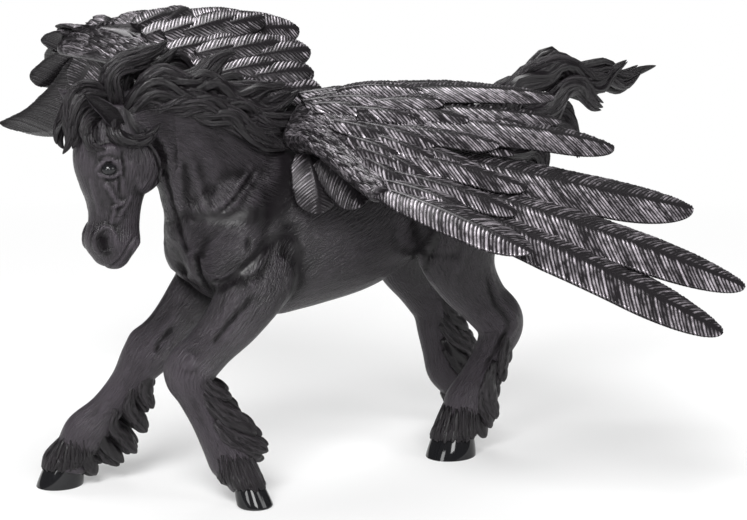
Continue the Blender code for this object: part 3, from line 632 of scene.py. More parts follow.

# How strongly the creases and ridges show, how dark the painted shade in the nostrils is, and how far the
# creases and ridges may lie off the skin.
BODY_CARVING = 0.8
HEAD_CARVING = 1.2
LEG_CARVING = 0.5
LEG_STROKE_WIDTH = 1.2
HOLLOW_PAINTED_SHADE = 0.9
SKIN_REACH = 3.0

# The down on a wing's arm: how many strokes, how far round the arm and how far along it they lie,
# and their sizes from root to tip.
DOWN_COUNT = 400
DOWN_REACH = 1.3
DOWN_END = 0.86
DOWN_LENGTHS = (4.0, 8.0)
DOWN_HALF_WIDTHS = (0.3, 0.65, 0.35)
DOWN_HALF_THICKNESSES = (0.12, 0.28, 0.12)

# Feathers: the shaft, the barbs, and the columns of a vane as shares of its half width.
FEATHER_HALF_THICKNESS = 0.8
SHAFT_HEIGHT = 0.55
SHAFT_WIDTH = 0.6
BARB_PITCH = 1.05
BARB_ROWS = 3
BARB_RELIEF = (0.0, 1.0, 0.75)
BARB_HEIGHT = 0.36
BARB_LEAN = 0.5
BARB_SHIFT = 0.13
BARB_STRENGTHS = (0.45, 1.15)
# The back vane's painted shade, as a share of the front vane's tone.
BACK_VANE_PAINTED_SHADE = 0.45
VANE_ROOF = 0.18
CURVE_POINTS = 90
TOP_COLUMNS = (-1.0, -0.9, -0.72, -0.52, -0.34, -0.18, -0.07)
UNDER_COLUMNS = (0.55,)

# Coverts: the longest as a share of the feather under it, the shortest that is made, and how they
# and the lobes under the arm differ from the long feathers.
COVERT_SHARE = 0.55
COVERT_SHORTEST = 11.0
COVERT_HALF_WIDTHS = (3.6, 4.6)
SMALL_COVERT = {
    "top": (-1.0, -0.85, -0.6, -0.35, -0.12),
    "under": (0.6,),
    "pitch": 1.25,
    "relief": 0.42,
    "roof": 0.28,
    "lean": 0.85,
}
MIDDLE_COVERT = {**SMALL_COVERT, "pitch": BARB_PITCH, "lean": 0.75}
# The lobes under the arm are painted darker, as painted shade.
ARM_LOBE = {"pitch": 0.85, "relief": 0.26, "painted_shade": 0.3}
ARM_LOBE_WIDER = 1.12
LOBE_LEAN = 0.3

# The photo's viewpoint, in radians and millimetres, with the focal length in pixels.
CAMERA_TURN = 0.593411946
CAMERA_TILT = 0.200712864
CAMERA_DISTANCE = 492.297
CAMERA_TARGET = (-11.496, -9.046, 57.077)
FOCAL_PIXELS = 1852.366
PHOTO_WIDTH = 747
SENSOR_WIDTH = 36.0

# Lamps, as (name, place and size in metres, power in watts).
LAMPS = (
    ("key", (-0.5, -0.45, 0.7), 0.4, 10.0),
    ("fill", (0.4, -0.65, 0.4), 0.4, 2.0),
    ("top", (0.15, 0.35, 0.85), 0.5, 5.5),
    ("front", (-0.3, -0.85, 0.4), 0.25, 2.6),
    ("window", (-0.72, -0.4, 0.24), 0.22, 1.2),
)
FLOOR_HALF_WIDTH = 4.0


def unit(vectors):
    """The vectors at length one."""
    return vectors / np.maximum(np.linalg.norm(vectors, axis=-1, keepdims=True), 1e-9)


def smooth_rows(rows, steps=SPAN_STEPS):
    """Catmull-Rom rows through the given ones."""
    rows = np.array(rows, float)
    padded = np.vstack([2 * rows[0] - rows[1], rows, 2 * rows[-1] - rows[-2]])
    found = []
    for a, b, c, d in zip(padded, padded[1:], padded[2:], padded[3:]):
        for t in np.arange(steps) / steps:
            curve = 2 * b + (c - a) * t + (2 * a - 5 * b + 4 * c - d) * t**2 + (3 * b - a - 3 * c + d) * t**3
            found.append(curve / 2)
    return np.array(found + [rows[-1]])


def spaced(points, count):
    """The same curve with evenly spaced points."""
    steps = np.linalg.norm(np.diff(points, axis=0), axis=1)
    reach = np.concatenate([[0.0], np.cumsum(steps)])
    places = np.linspace(0.0, reach[-1], count)
    return np.stack([np.interp(places, reach, column) for column in points.T], axis=1), reach[-1]


def read_at(points, at):
    """The points of a curve at fractional places along it."""
    steps = np.arange(len(points))
    return np.stack([np.interp(at, steps, column) for column in points.T], axis=1)


def curve_frames(points, side):
    """The directions along a curve's side and across it."""
    tangents = unit(np.gradient(points, axis=0))
    side = np.asarray(side, float)
    along = unit(side - tangents * (tangents @ side)[:, None])
    return along, np.cross(tangents, along)


def ease(share):
    """A smooth step from 0 to 1."""
    share = np.clip(share, 0.0, 1.0)
    return share * share * (3 - 2 * share)


def loft(rings):
    """Vertices and triangles of a closed skin through rings of points."""
    count, sides = rings.shape[:2]
    verts = np.vstack([rings.reshape(-1, 3), rings[0].mean(axis=0), rings[-1].mean(axis=0)])
    k = np.arange(sides)
    after = (k + 1) % sides
    starts = np.arange(count - 1)[:, None] * sides
    quads = np.stack([starts + k, starts + after, starts + after + sides, starts + k + sides], axis=-1)
    quads = quads.reshape(-1, 4)
    last = (count - 1) * sides
    near_cap = np.stack([after, k, np.full(sides, count * sides)], axis=1)
    far_cap = np.stack([k + last, after + last, np.full(sides, count * sides + 1)], axis=1)
    faces = np.vstack([quads[:, [0, 1, 2]], quads[:, [0, 2, 3]], near_cap, far_cap])
    corners = verts[faces]
    volume = np.einsum("ij,ij->", corners[:, 0], np.cross(corners[:, 1], corners[:, 2]))
    return verts, faces if volume > 0 else faces[:, ::-1]


class Bag:
    """Collects loose forms into one mesh, with what its material needs at each vertex."""

    def __init__(self):
        self.verts = []
        self.faces = []
        self.ridge = []
        self.coat = []
        self.tone_and_shade = []
        self.count = 0

    def add(self, verts, faces, ridge=0.5, coat=None, tone_and_shade=0.5):
        """Adds one form: its relief, which also sets its painted highlight and shade, its place in the
        grain, and its tone with any painted shade.
        """
        size = len(verts)
        self.verts.append(verts)
        self.faces.append(faces + self.count)
        self.ridge.append(np.broadcast_to(ridge, size))
        self.coat.append(verts if coat is None else coat)
        self.tone_and_shade.append(np.broadcast_to(tone_and_shade, size))
        self.count += size

    def arrays(self):
        """Vertices, triangles, relief, grain and tone."""
        lists = (self.verts, self.faces, self.ridge, self.coat, self.tone_and_shade)
        return [np.concatenate(one) for one in lists]


def to_world(verts):
    """From the horse's own space to metres in the shared frame."""
    return (verts * (-1.0, -1.0, 1.0) + (AHEAD_SHIFT, LEFT_SHIFT, 0.0)) * MM


def from_world(verts):
    """From the shared frame to the horse's own space."""
    return (verts / MM - (AHEAD_SHIFT, LEFT_SHIFT, 0.0)) * (-1.0, -1.0, 1.0)


def new_mesh(name, verts, faces):
    """A mesh in the shared frame."""
    mesh = bpy.data.meshes.new(name)
    mesh.vertices.add(len(verts))
    mesh.vertices.foreach_set("co", to_world(verts).ravel())
    mesh.loops.add(faces.size)
    mesh.loops.foreach_set("vertex_index", np.ascontiguousarray(faces, np.int32).ravel())
    mesh.polygons.add(len(faces))
    mesh.polygons.foreach_set("loop_start", np.arange(0, faces.size, 3, dtype=np.int32))
    mesh.update(calc_edges=True)
    mesh.shade_smooth()
    return mesh


def add_object(name, mesh):
    """An object in the scene."""
    obj = bpy.data.objects.new(name, mesh)
    bpy.context.scene.collection.objects.link(obj)
    return obj


def piece(name, bag, material):
    """An object of the bag's forms, with its attributes and its finish."""
    verts, faces, ridge, coat, tone_and_shade = bag.arrays()
    mesh = new_mesh(name, verts, faces)
    for label, values in (("ridge", ridge), ("tone_and_shade", tone_and_shade)):
        layer = mesh.attributes.new(label, "FLOAT", "POINT")
        layer.data.foreach_set("value", np.ascontiguousarray(values, np.float32))
    layer = mesh.attributes.new("coat", "FLOAT_VECTOR", "POINT")
    layer.data.foreach_set("vector", np.ascontiguousarray(coat, np.float32).ravel())
    mesh.materials.append(material)
    obj = add_object(name, mesh)
    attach(obj, "root")
    return obj


def tube(bag, rows, side=LEFT, sides=TUBE_SIDES):
    """A closed form through rows of (ahead, left, height, half size along side, half size across it)."""
    rows = smooth_rows(rows)
    along, across = curve_frames(rows[:, :3], side)
    turns = 2 * math.pi * (np.arange(sides) + 0.5) / sides
    x = rows[:, 3:4] * np.cos(turns)
    y = rows[:, 4:5] * np.sin(turns)
    rings = rows[:, None, :3] + along[:, None] * x[..., None] + across[:, None] * y[..., None]
    bag.add(*loft(rings))


def ellipsoid(bag, centre, half_sizes, pitch=0.0, sides=TUBE_SIDES):
    """A rounded form, pitched about the sideways axis."""
    poles = np.linspace(-1.0, 1.0, sides // 2 + 1) * math.pi / 2 * 0.98
    turns = 2 * math.pi * np.arange(sides) / sides
    around = np.cos(poles)[:, None]
    heights = np.sin(poles)[:, None] + 0 * turns
    rings = np.stack([around * np.cos(turns), around * np.sin(turns), heights], axis=-1)
    rings = rings * half_sizes
    cosine, sine = math.cos(math.radians(pitch)), math.sin(math.radians(pitch))
    turned = rings[..., 0] * cosine + rings[..., 2] * sine
    rings[..., 2] = rings[..., 2] * cosine - rings[..., 0] * sine
    rings[..., 0] = turned
    bag.add(*loft(rings + centre))


def mirrored(point, side):
    """The point, on the left (1) or the right (-1) side."""
    return (point[0], point[1] * side, point[2])


def fused(bag, voxel, smoothing=8):
    """The forms of a bag as one skin of small faces: its vertices and triangles."""
    verts, faces = bag.arrays()[:2]
    obj = add_object("forms", new_mesh("forms", verts, faces))
    remesh = obj.modifiers.new("fuse", "REMESH")
    remesh.mode = "VOXEL"
    remesh.voxel_size = voxel * MM
    soften = obj.modifiers.new("soften", "SMOOTH")
    soften.iterations = smoothing
    return take_mesh(obj)


def take_mesh(obj):
    """The vertices and triangles of what the modifiers make, and removes the object."""
    graph = bpy.context.evaluated_depsgraph_get()
    mesh = bpy.data.meshes.new_from_object(obj.evaluated_get(graph))
    mesh.calc_loop_triangles()
    verts = np.empty(len(mesh.vertices) * 3)
    mesh.vertices.foreach_get("co", verts)
    faces = np.empty(len(mesh.loop_triangles) * 3, np.int32)
    mesh.loop_triangles.foreach_get("vertices", faces)
    bpy.data.objects.remove(obj)
    bpy.data.meshes.remove(mesh)
    return from_world(verts.reshape(-1, 3)), faces.reshape(-1, 3)


def thinned(verts, faces, triangles):
    """The skin with no more than so many triangles."""
    if len(faces) <= triangles:
        return verts, faces
    obj = add_object("thick", new_mesh("thick", verts, faces))
    thin = obj.modifiers.new("thin", "DECIMATE")
    thin.ratio = triangles / len(faces)
    return take_mesh(obj)


def vertex_normals(verts, faces):
    """The outward directions at the vertices."""
    corners = verts[faces]
    flat = np.cross(corners[:, 1] - corners[:, 0], corners[:, 2] - corners[:, 0])
    normals = np.zeros_like(verts)
    for k in range(3):
        for axis in range(3):
            normals[:, axis] += np.bincount(faces[:, k], flat[:, axis], len(verts))
    return unit(normals)


def neighbour_mean(values, faces, size):
    """The mean of each vertex's neighbours."""
    total = np.zeros((size,) + values.shape[1:])
    starts = np.concatenate([faces[:, 0], faces[:, 1], faces[:, 2], faces[:, 1], faces[:, 2], faces[:, 0]])
    ends = np.concatenate([faces[:, 1], faces[:, 2], faces[:, 0], faces[:, 0], faces[:, 1], faces[:, 2]])
    count = np.maximum(np.bincount(starts, minlength=size), 1)
    if values.ndim == 1:
        return np.bincount(starts, values[ends], size) / count
    for axis in range(values.shape[1]):
        total[:, axis] = np.bincount(starts, values[ends, axis], size)
    return total / count[:, None]


def path_distance(points, path):
    """How far the points are from a path, and at what share of its length."""
    best = np.full(len(points), np.inf)
    share = np.zeros(len(points))
    for i, (start, end) in enumerate(zip(path, path[1:])):
        step = end - start
        t = np.clip((points - start) @ step / max(step @ step, 1e-9), 0.0, 1.0)
        gap = np.linalg.norm(points - start - t[:, None] * step, axis=1)
        closer = gap < best
        best = np.where(closer, gap, best)
        share = np.where(closer, (i + t) / (len(path) - 1), share)
    return best, share


def carve(verts, normals, path, width, height):
    """Raises a ridge, or with a negative height sinks a crease, along a path on the skin."""
    path = smooth_rows(path, 5) if len(path) > 1 else np.array([path[0], path[0]], float)
    margin = 3 * width + SKIN_REACH
    inside = (verts > path.min(axis=0) - margin) & (verts < path.max(axis=0) + margin)
    near = np.flatnonzero(inside.all(axis=1))
    if not len(near):
        return
    for k, point in enumerate(path):
        gaps = np.linalg.norm(verts[near] - point, axis=1)
        if gaps.min() < SKIN_REACH:
            path[k] = verts[near[gaps.argmin()]]
    gap, share = path_distance(verts[near], path)
    fade = ease(np.minimum(share, 1 - share) * 5 + 0.15) if len(path) > 2 else 1.0
    lift = height * fade * np.exp(-((gap / width) ** 2))
    verts[near] += normals[near] * lift[:, None]


def carve_all(verts, faces, strength):
    """The soft bumps, creases and ridges of the horse."""
    normals = vertex_normals(verts, faces)
    for centre, width, height in BUMPS:
        for side in (1, -1):
            carve(verts, normals, [mirrored(centre, side)], width, height)
    for path, width, height in STROKES:
        for side in (1, -1):
            carve(verts, normals, [mirrored(point, side) for point in path], width, height * strength)
    for path, width, height in LEG_STROKES:
        carve(verts, normals, path, width * LEG_STROKE_WIDTH, height * LEG_CARVING)


def grain_chains():
    """The lines that the coat follows: (points, radii, how far the hair leans down)."""
    chains = []
    for table, lean in ((TRUNK[::-1], -0.03), (NECK[::-1], -0.02), (HEAD[::-1], 0.0)):
        rows = smooth_rows([(a, 0.0, h, w, d) for a, h, w, d in table], 3)
        chains.append((rows[:, :3], rows[:, 3:].mean(axis=1), lean))
    for leg in (RIGHT_FORE, LEFT_FORE, LEFT_HIND, RIGHT_HIND):
        rows = smooth_rows(leg, 3)
        chains.append((rows[:, :3], rows[:, 3:].mean(axis=1), 0.0))
    return chains


def coat_grain(verts):
    """Where each point lies along and around its limb, and how clear it is of the next limb's grain."""
    best = np.full(len(verts), np.inf)
    second = best.copy()
    coat = verts.copy()
    for number, (points, radii, lean) in enumerate(grain_chains()):
        gap, share = path_distance(verts, points)
        place = share * (len(points) - 1)
        radius = np.interp(place, np.arange(len(points)), radii)
        steps = np.linalg.norm(np.diff(points, axis=0), axis=1)
        reach = np.interp(place, np.arange(len(points)), np.concatenate([[0.0], np.cumsum(steps)]))
        along, across = curve_frames(points, LEFT)
        index = np.clip(np.round(place).astype(int), 0, len(points) - 1)
        offset = verts - points[index]
        sideways = np.einsum("ij,ij->i", offset, along[index])
        upright = np.einsum("ij,ij->i", offset, across[index])
        turn = np.arctan2(np.abs(sideways), upright) + lean * reach
        mean = radii.mean()
        grain = np.stack([reach + 40 * number, mean * np.cos(turn), mean * np.sin(turn)], axis=1)
        closer = gap / radius < best
        second = np.where(closer, best, np.minimum(second, gap / radius))
        best = np.where(closer, gap / radius, best)
        coat[closer] = grain[closer]
    return coat, ease((second - best) / GRAIN_SEAM)


def skin_ridge(verts, faces):
    """How far each point stands proud of the skin around it, from 0 to 1: painted highlight on ridges,
    painted shade in creases and in the nostrils.
    """
    normals = vertex_normals(verts, faces)
    proud = np.einsum("ij,ij->i", verts - neighbour_mean(verts, faces, len(verts)), normals)
    for _ in range(3):
        proud = neighbour_mean(proud, faces, len(verts))
    spread = np.percentile(np.abs(proud), 90)
    ridge = 0.5 + 0.4 * np.tanh(proud / max(spread, 1e-9))
    # The nostrils are painted darker, as painted shade.
    for centre, radius in HOLLOWS:
        for side in (1, -1):
            gap = np.linalg.norm(verts - mirrored(centre, side), axis=1)
            ridge *= 1 - HOLLOW_PAINTED_SHADE * np.exp(-((gap / radius) ** 2))
    return ridge


def keep_part(verts, faces, keep):
    """The faces whose vertices are all kept."""
    kept = keep[faces].all(axis=1)
    used = np.unique(faces[kept])
    place = np.zeros(len(verts), np.int64)
    place[used] = np.arange(len(used))
    return verts[used], place[faces[kept]]


def horse_forms(with_trunk):
    """The round forms under the skin: the whole horse, or its head and neck only."""
    bag = Bag()
    tables = [TRUNK, NECK, HEAD] if with_trunk else [NECK, HEAD]
    for table in tables:
        tube(bag, [(a, 0.0, h, w, d) for a, h, w, d in table])
    for centre, half_sizes, pitch in MUSCLES:
        if with_trunk or centre[0] > HEAD_FROM:
            for side in (1, -1):
                ellipsoid(bag, mirrored(centre, side), half_sizes, pitch)
    if with_trunk:
        for leg in (RIGHT_FORE, LEFT_FORE, LEFT_HIND, RIGHT_HIND):
            tube(bag, leg)
    return bag


def add_skin(bag, forms, voxel, triangles, head):
    """Adds a carved skin. The head's and the body's dive under each other where they meet."""
    verts, faces = fused(forms, voxel, 16 if head else 24)
    past = verts[:, 0] - HEAD_FROM
    if head:
        keep = past > 0
    else:
        keep = (past < HEAD_OVERLAP) | (verts[:, 2] < HEAD_ABOVE)
    verts, faces = keep_part(verts, faces, keep)
    verts, faces = thinned(verts, faces, triangles)
    share = np.clip((verts[:, 0] - HEAD_FROM) / HEAD_OVERLAP, 0.0, 1.0)
    sink = 1 - share if head else share * (verts[:, 2] > HEAD_ABOVE)
    verts -= vertex_normals(verts, faces) * (SEAM_SINK * sink)[:, None]
    carve_all(verts, faces, HEAD_CARVING if head else BODY_CARVING)
    verts = 0.5 * (verts + neighbour_mean(verts, faces, len(verts)))
    coat, tone_and_shade = coat_grain(verts)
    face = ease((verts[:, 0] - FACE_FROM) / FACE_FADE)
    legs = ease((LEGS_BELOW - verts[:, 2]) / LEGS_FADE)
    # The ridges get painted highlight and the creases painted shade, stronger on the face and the legs,
    # which come out lighter; the skin is darker where two limbs' grain meets.
    light_scale = RIDGE_LIGHT_SCALE + FACE_AND_LEGS_LIGHTER * np.maximum(legs, face)
    tone_and_shade = tone_and_shade * (1 - FACE_CALM * face)
    bag.add(verts, faces, skin_ridge(verts, faces) * light_scale, coat, tone_and_shade)
    return verts


def lock(
    bag,
    points,
    widths,
    thicknesses,
    rng,
    strands=6,
    side=LEFT,
    sides=26,
    rows=32,
    groove=0.46,
    tip=0.1,
    light_scale=1.0,
):
    """One rope of hair with strands along it. Widths and thicknesses run from its root to its tip."""
    share = 1 - (1 - np.linspace(0.0, 1.0, rows)) ** TIP_CROWDING
    fine, length = spaced(smooth_rows(points), 3 * rows)
    centres = read_at(fine, share * (3 * rows - 1))
    along, across = curve_frames(centres, side)
    blunt = np.sqrt(np.clip(1 - ((share - 1 + tip) / tip).clip(0) ** 2, 0.02, 1))
    half_width = np.interp(share, np.linspace(0, 1, len(widths)), widths) * blunt
    half_depth = np.interp(share, np.linspace(0, 1, len(thicknesses)), thicknesses) * blunt
    turns = 2 * math.pi * (np.arange(sides) + 0.5) / sides
    wander = rng.uniform(0.5, 1.1) * np.sin(2 * math.pi * (rng.uniform(0.7, 1.3) * share + rng.uniform()))
    phase = turns + (wander + rng.uniform(-0.8, 0.8) * share + rng.uniform() * 6)[:, None]
    relief = np.abs(np.cos(0.5 * strands * phase)) ** 0.6
    scale = 1 - groove * (1 - relief)
    x = half_depth[:, None] * np.cos(turns) * scale
    y = half_width[:, None] * np.sin(turns) * scale
    rings = centres[:, None] + along[:, None] * x[..., None] + across[:, None] * y[..., None]
    verts, faces = loft(rings)
    # Strand crests get painted highlight and the grooves painted shade.
    ridge = light_scale * np.concatenate([relief.ravel(), [0.5, 0.5]])
    reach = np.repeat(share * length, sides)
    girth = np.tile(turns, rows) * 2.5 + rng.uniform() * 50
    coat = np.stack([reach, girth, np.full(len(reach), rng.uniform() * 50)], axis=1)
    bag.add(verts, faces, ridge, np.vstack([coat, coat[:1], coat[-1:]]), rng.uniform())


def tuft(bag, points, half_width, half_thickness, rng, wraps=4):
    """A thick lock: a core, with smaller ropes that wind along it and end at different lengths."""
    taper_at, sizes = zip(*LOCK_TAPER)
    share = np.linspace(0.0, 1.0, TUFT_ROWS)
    size = np.interp(share, taper_at, sizes)
    centres, length = spaced(smooth_rows(points), TUFT_ROWS)
    along, across = curve_frames(centres, LEFT)
    waves = length / (WAVE_LENGTH * rng.uniform(0.85, 1.6))
    wave = np.sin(2 * math.pi * (waves * share + rng.uniform())) * ease(share * 2)
    centres = centres + across * (wave * WAVE_HEIGHT * rng.uniform(0.6, 1.1) * half_width)[:, None]
    lock(bag, centres[::2], half_width * size * 0.7, half_thickness * size * 0.7, rng, strands=9)
    start = rng.uniform() * 6
    for k in range(wraps):
        turn = start + 2 * math.pi * k / wraps + rng.uniform(1.0, 2.8) * share
        sway = 0.26 * np.sin(2 * math.pi * (waves * share + rng.uniform()))
        x = half_thickness * size * (0.6 * np.cos(turn))
        y = half_width * size * (0.62 * np.sin(turn) + sway)
        path = centres + along * x[:, None] + across * y[:, None]
        last = int(rng.integers(TUFT_ROWS - 6, TUFT_ROWS))
        width = half_width * size[:last] * rng.uniform(0.3, 0.46)
        depth = np.maximum(half_thickness * size[:last] * 0.5, width * 0.8)
        lock(bag, path[:last:2], width, depth, rng, strands=5, sides=20, rows=24)


def add_hair(bag, locks, rng, wraps):
    """The locks of the mane, the forelock or the tail."""
    for points, (half_width, half_thickness) in locks:
        tuft(bag, points, half_width, half_thickness, rng, wraps)


def add_leg_hair(bag, leg, lobes, rng):
    """Rounded lobes of hair that run down the lower leg and fan out behind it."""
    aheads, lefts, heights = np.array(leg)[::-1, :3].T
    for height, reach, drop in lobes:
        for turn in LOBE_TURNS:
            level = height + rng.uniform(-LOBE_HEIGHT_SCATTER, LOBE_HEIGHT_SCATTER)
            back = reach - abs(turn) * LOBE_SIDE_SHORTER - rng.uniform(0.0, LOBE_REACH_SCATTER)
            points = []
            for rise, fall, out, spread in LOBE_PATH:
                lift = rise - fall * drop
                ahead = np.interp(level + max(lift, 0.0), heights, aheads)
                left = np.interp(level + max(lift, 0.0), heights, lefts)
                points.append((ahead - back * out, left + turn * LOBE_SPREAD * spread, level + lift))
            widths = rng.uniform(*LOBE_HALF_WIDTHS) * np.array(LOBE_TAPER)
            sizes = {"sides": 16, "rows": 14, "groove": 0.36, "tip": 0.3}
            # These lobes get stronger painted highlight on their strands, and come out lighter.
            lock(bag, points, widths, LOBE_HALF_THICKNESSES, rng, strands=5, light_scale=1.3, **sizes)


def nearest(points, place):
    """The point nearest to a place."""
    return points[np.linalg.norm(points - place, axis=1).argmin()]


def add_coronet_hair(bag, skin, top, sole, half_width, half_length, rng):
    """Fine short hair that swells over the pastern and ends in a ragged line over a hoof."""
    top, sole = np.array(top), np.array(sole)
    down = (sole - top) / np.linalg.norm(sole - top)
    for offset, rise in CORONET_LAYERS:
        for turn in np.arange(0.0, 2 * math.pi, CORONET_STEP):
            turn = turn + offset * CORONET_STEP + rng.uniform(-0.04, 0.04)
            out = np.array([math.cos(turn), math.sin(turn), 0.0])
            edge = np.array([half_length * out[0], half_width * out[1], 0.0])
            start = nearest(skin, top + edge - down * rise * rng.uniform(0.85, 1.15)) - out * 0.15
            bend = nearest(skin, top + edge * 1.05 - down * rise * 0.35) + out * CORONET_SWELL
            end = top + edge * 1.09 + down * rng.uniform(0.4, 1.6)
            path = [start, bend, end]
            # This hair gets stronger painted highlight on its strands, and comes out lighter.
            lock(bag, path, [0.35, 0.75, 0.5], [0.2, 0.5, 0.35], rng, 3, out, sides=8, rows=8, light_scale=1.5)


def add_ear(bag, side, rng):
    """A pointed ear, hollowed on its outer face."""
    points, (half_width, half_thickness) = EAR
    centres, _ = spaced(smooth_rows([mirrored(point, side) for point in points]), 26)
    along, across = curve_frames(centres, (0.0, float(side), 0.0))
    share = np.linspace(0.0, 1.0, 26)
    size = np.interp(share, (0, 0.35, 0.75, 1), (0.75, 1.1, 0.7, 0.08))
    turns = 2 * math.pi * np.arange(30) / 30
    x = np.cos(turns)
    y = np.sin(turns)
    hollow = np.where(x > 0, 0.75 * x - 1.5 * (1 - np.abs(y) ** 2.5), 1.15 * x)
    wide = half_width * size[:, None] * y
    deep = half_thickness * size[:, None] * hollow
    rings = centres[:, None] + along[:, None] * deep[..., None] + across[:, None] * wide[..., None]
    verts, faces = loft(rings)
    # The hollow of the ear is painted dark as painted shade, the rest light.
    ridge = np.append(np.tile(np.where(x > 0.45, 0.3, 0.9), 26), [0.5, 0.5])
    bag.add(verts, faces, ridge, verts, rng.uniform())


def hoof(bag, top, sole, half_width, half_length):
    """A smooth glossy hoof, wider and longer at the sole, cut flat at the ground."""
    top, sole = np.array(top), np.array(sole)
    share = np.linspace(0.0, 1.0, 40)
    size = 0.94 + (HOOF_FLARE - 0.94) * np.sin(share * math.pi / 2)
    size *= np.sqrt(1 - 0.3 * ease((share - 0.84) / 0.16) ** 2)
    turns = 2 * math.pi * np.arange(56) / 56
    centres = top + (sole - top) * share[:, None]
    x = half_length * size[:, None] * np.cos(turns) * (1 + 0.1 * share[:, None] * (np.cos(turns) > 0))
    y = half_width * size[:, None] * np.sin(turns)
    rings = centres[:, None] + np.stack([x, y, 0 * x], axis=-1)
    rings[..., 2] = np.maximum(rings[..., 2], 0.0)
    bag.add(*loft(rings))


def width_profile(share, half_width):
    """Half the width of a feather at a share of its length, round at the tip."""
    base = np.interp(share, (0.0, 0.2, 0.5, 0.75, 1.0), (0.55, 0.85, 1.0, 0.95, 0.88))
    return half_width * base * np.sqrt(np.clip(1 - ((share - 0.74) / 0.26).clip(0) ** 2, 0.0, 1))


def feather_curve(root, middle, tip, normal):
    """A bent shaft: its points, its length, and the directions across it and up from it."""
    bend = 2 * middle - (root + tip) / 2
    t = np.linspace(0.0, 1.0, CURVE_POINTS)[:, None]
    curve, length = spaced(root * (1 - t) ** 2 + bend * (2 * t * (1 - t)) + tip * t**2, CURVE_POINTS)
    across = unit(np.cross(normal, tip - root))
    tangents = unit(np.gradient(curve, axis=0))
    upward = unit(np.cross(tangents, across))
    upward *= np.sign(upward @ normal)[:, None]
    return curve, length, across, upward


def barb_rows(length, half_width, pitch, lean, rng):
    """Where each row of a vane leaves the shaft, and the number of its barb. Barbs vary a little."""
    first = -1.25 * lean * half_width
    rows = int((length - first) / pitch * BARB_ROWS) + 2
    barb = np.arange(rows) // BARB_ROWS
    shift = rng.uniform(-BARB_SHIFT, BARB_SHIFT, barb.max() + 1)[barb] * pitch
    starts = np.minimum(np.linspace(first, length, rows) + shift, length)
    starts[-1] = length
    return starts, barb


def feather(bag, root, middle, tip, half_width, normal, rng, style):
    """One feather: a raised shaft, and vanes of slanted barbs that slope down to a serrated edge."""
    root, middle, tip = np.array(root, float), np.array(middle, float), np.array(tip, float)
    curve, length, across, upward = feather_curve(root, middle, tip, np.asarray(normal, float))
    places = np.linspace(0.0, length, 400)
    widths = width_profile(places / length, half_width)
    lean = style.get("lean", BARB_LEAN)
    starts, barb = barb_rows(length, widths[0], style.get("pitch", BARB_PITCH), lean, rng)
    step = np.arange(len(starts)) % BARB_ROWS
    crest = np.array(BARB_RELIEF)[step]
    half_top = style.get("top", TOP_COLUMNS)
    half_under = style.get("under", UNDER_COLUMNS)
    top = [*half_top, 0.0, *(-v for v in half_top[::-1])]
    under = [*half_under, *(-v for v in half_under[::-1])]
    rings, ridge, grain = [], [], []
    own = rng.uniform(0, 90)
    for v, face in [(v, 1) for v in top] + [(v, -1) for v in under]:
        if abs(v) == 1.0:
            strength = rng.uniform(*BARB_STRENGTHS, barb.max() + 1)[barb]
        offset = lean * widths * abs(v) * (0.75 + 0.5 * abs(v))
        s = np.interp(starts, places - offset, places)
        width = np.interp(s, places, widths)
        at = s / length * (CURVE_POINTS - 1)
        centre = read_at(curve, at)
        raised = read_at(upward, at)
        y = v * width
        fade = ease((np.abs(y) - 0.25) / 0.9)
        relief = crest * strength * fade * (0.4 if abs(v) > 0.95 else 1.0)
        side = abs(v) ** 1.7
        shaft = math.exp(-((v * half_width / SHAFT_WIDTH) ** 2)) * (1 - 0.85 * s / length)
        height = style.get("relief", BARB_HEIGHT) * relief + SHAFT_HEIGHT * shaft
        roof = -style.get("roof", VANE_ROOF) * width * side
        half = FEATHER_HALF_THICKNESS * (0.75 - 0.45 * side) * (1 - 0.4 * s / length)
        z = roof + half + height if face > 0 else roof - half - 0.6 * height
        y = y * (1 + (0.02 * (crest * strength - 0.5) if abs(v) > 0.9 else 0.0))
        rings.append(centre + across * y[:, None] + raised * z[:, None])
        # Barb crests and the shaft are painted lighter as painted highlight; the underside is painted darker
        # as painted shade.
        ridge.append(np.clip((1.0 if face > 0 else 0.35) * relief + 0.5 * shaft, 0, 1))
        grain.append(np.stack([y, barb * 1.7 + 0.2 * step, own + 20.0 * (v > 0) + 0 * y], axis=1))
    verts, faces = loft(np.stack(rings, axis=1))
    ridge = np.append(np.stack(ridge, axis=1).ravel(), [0.5, 0.5])
    # The front vane is painted lighter and the back vane darker, as painted light and shade; a style may
    # darken a whole feather as painted shade.
    front = np.array([v * style["front"] > 0 for v in top + under])
    painted_shade = np.where(front, 1.0, BACK_VANE_PAINTED_SHADE) * style.get("painted_shade", 1.0)
    painted_shade = np.append(np.tile(painted_shade, len(starts)), [0.5, 0.5])
    grain = np.stack(grain, axis=1).reshape(-1, 3)
    bag.add(verts, faces, ridge, np.vstack([grain, grain[:1], grain[-1:]]), painted_shade)


def facing(wing, share):
    """The way a wing faces at a share of the way from its back to its leading edge."""
    return np.array([np.interp(share, (0.0, 0.5, 1.0), column) for column in zip(*wing["normals"])])


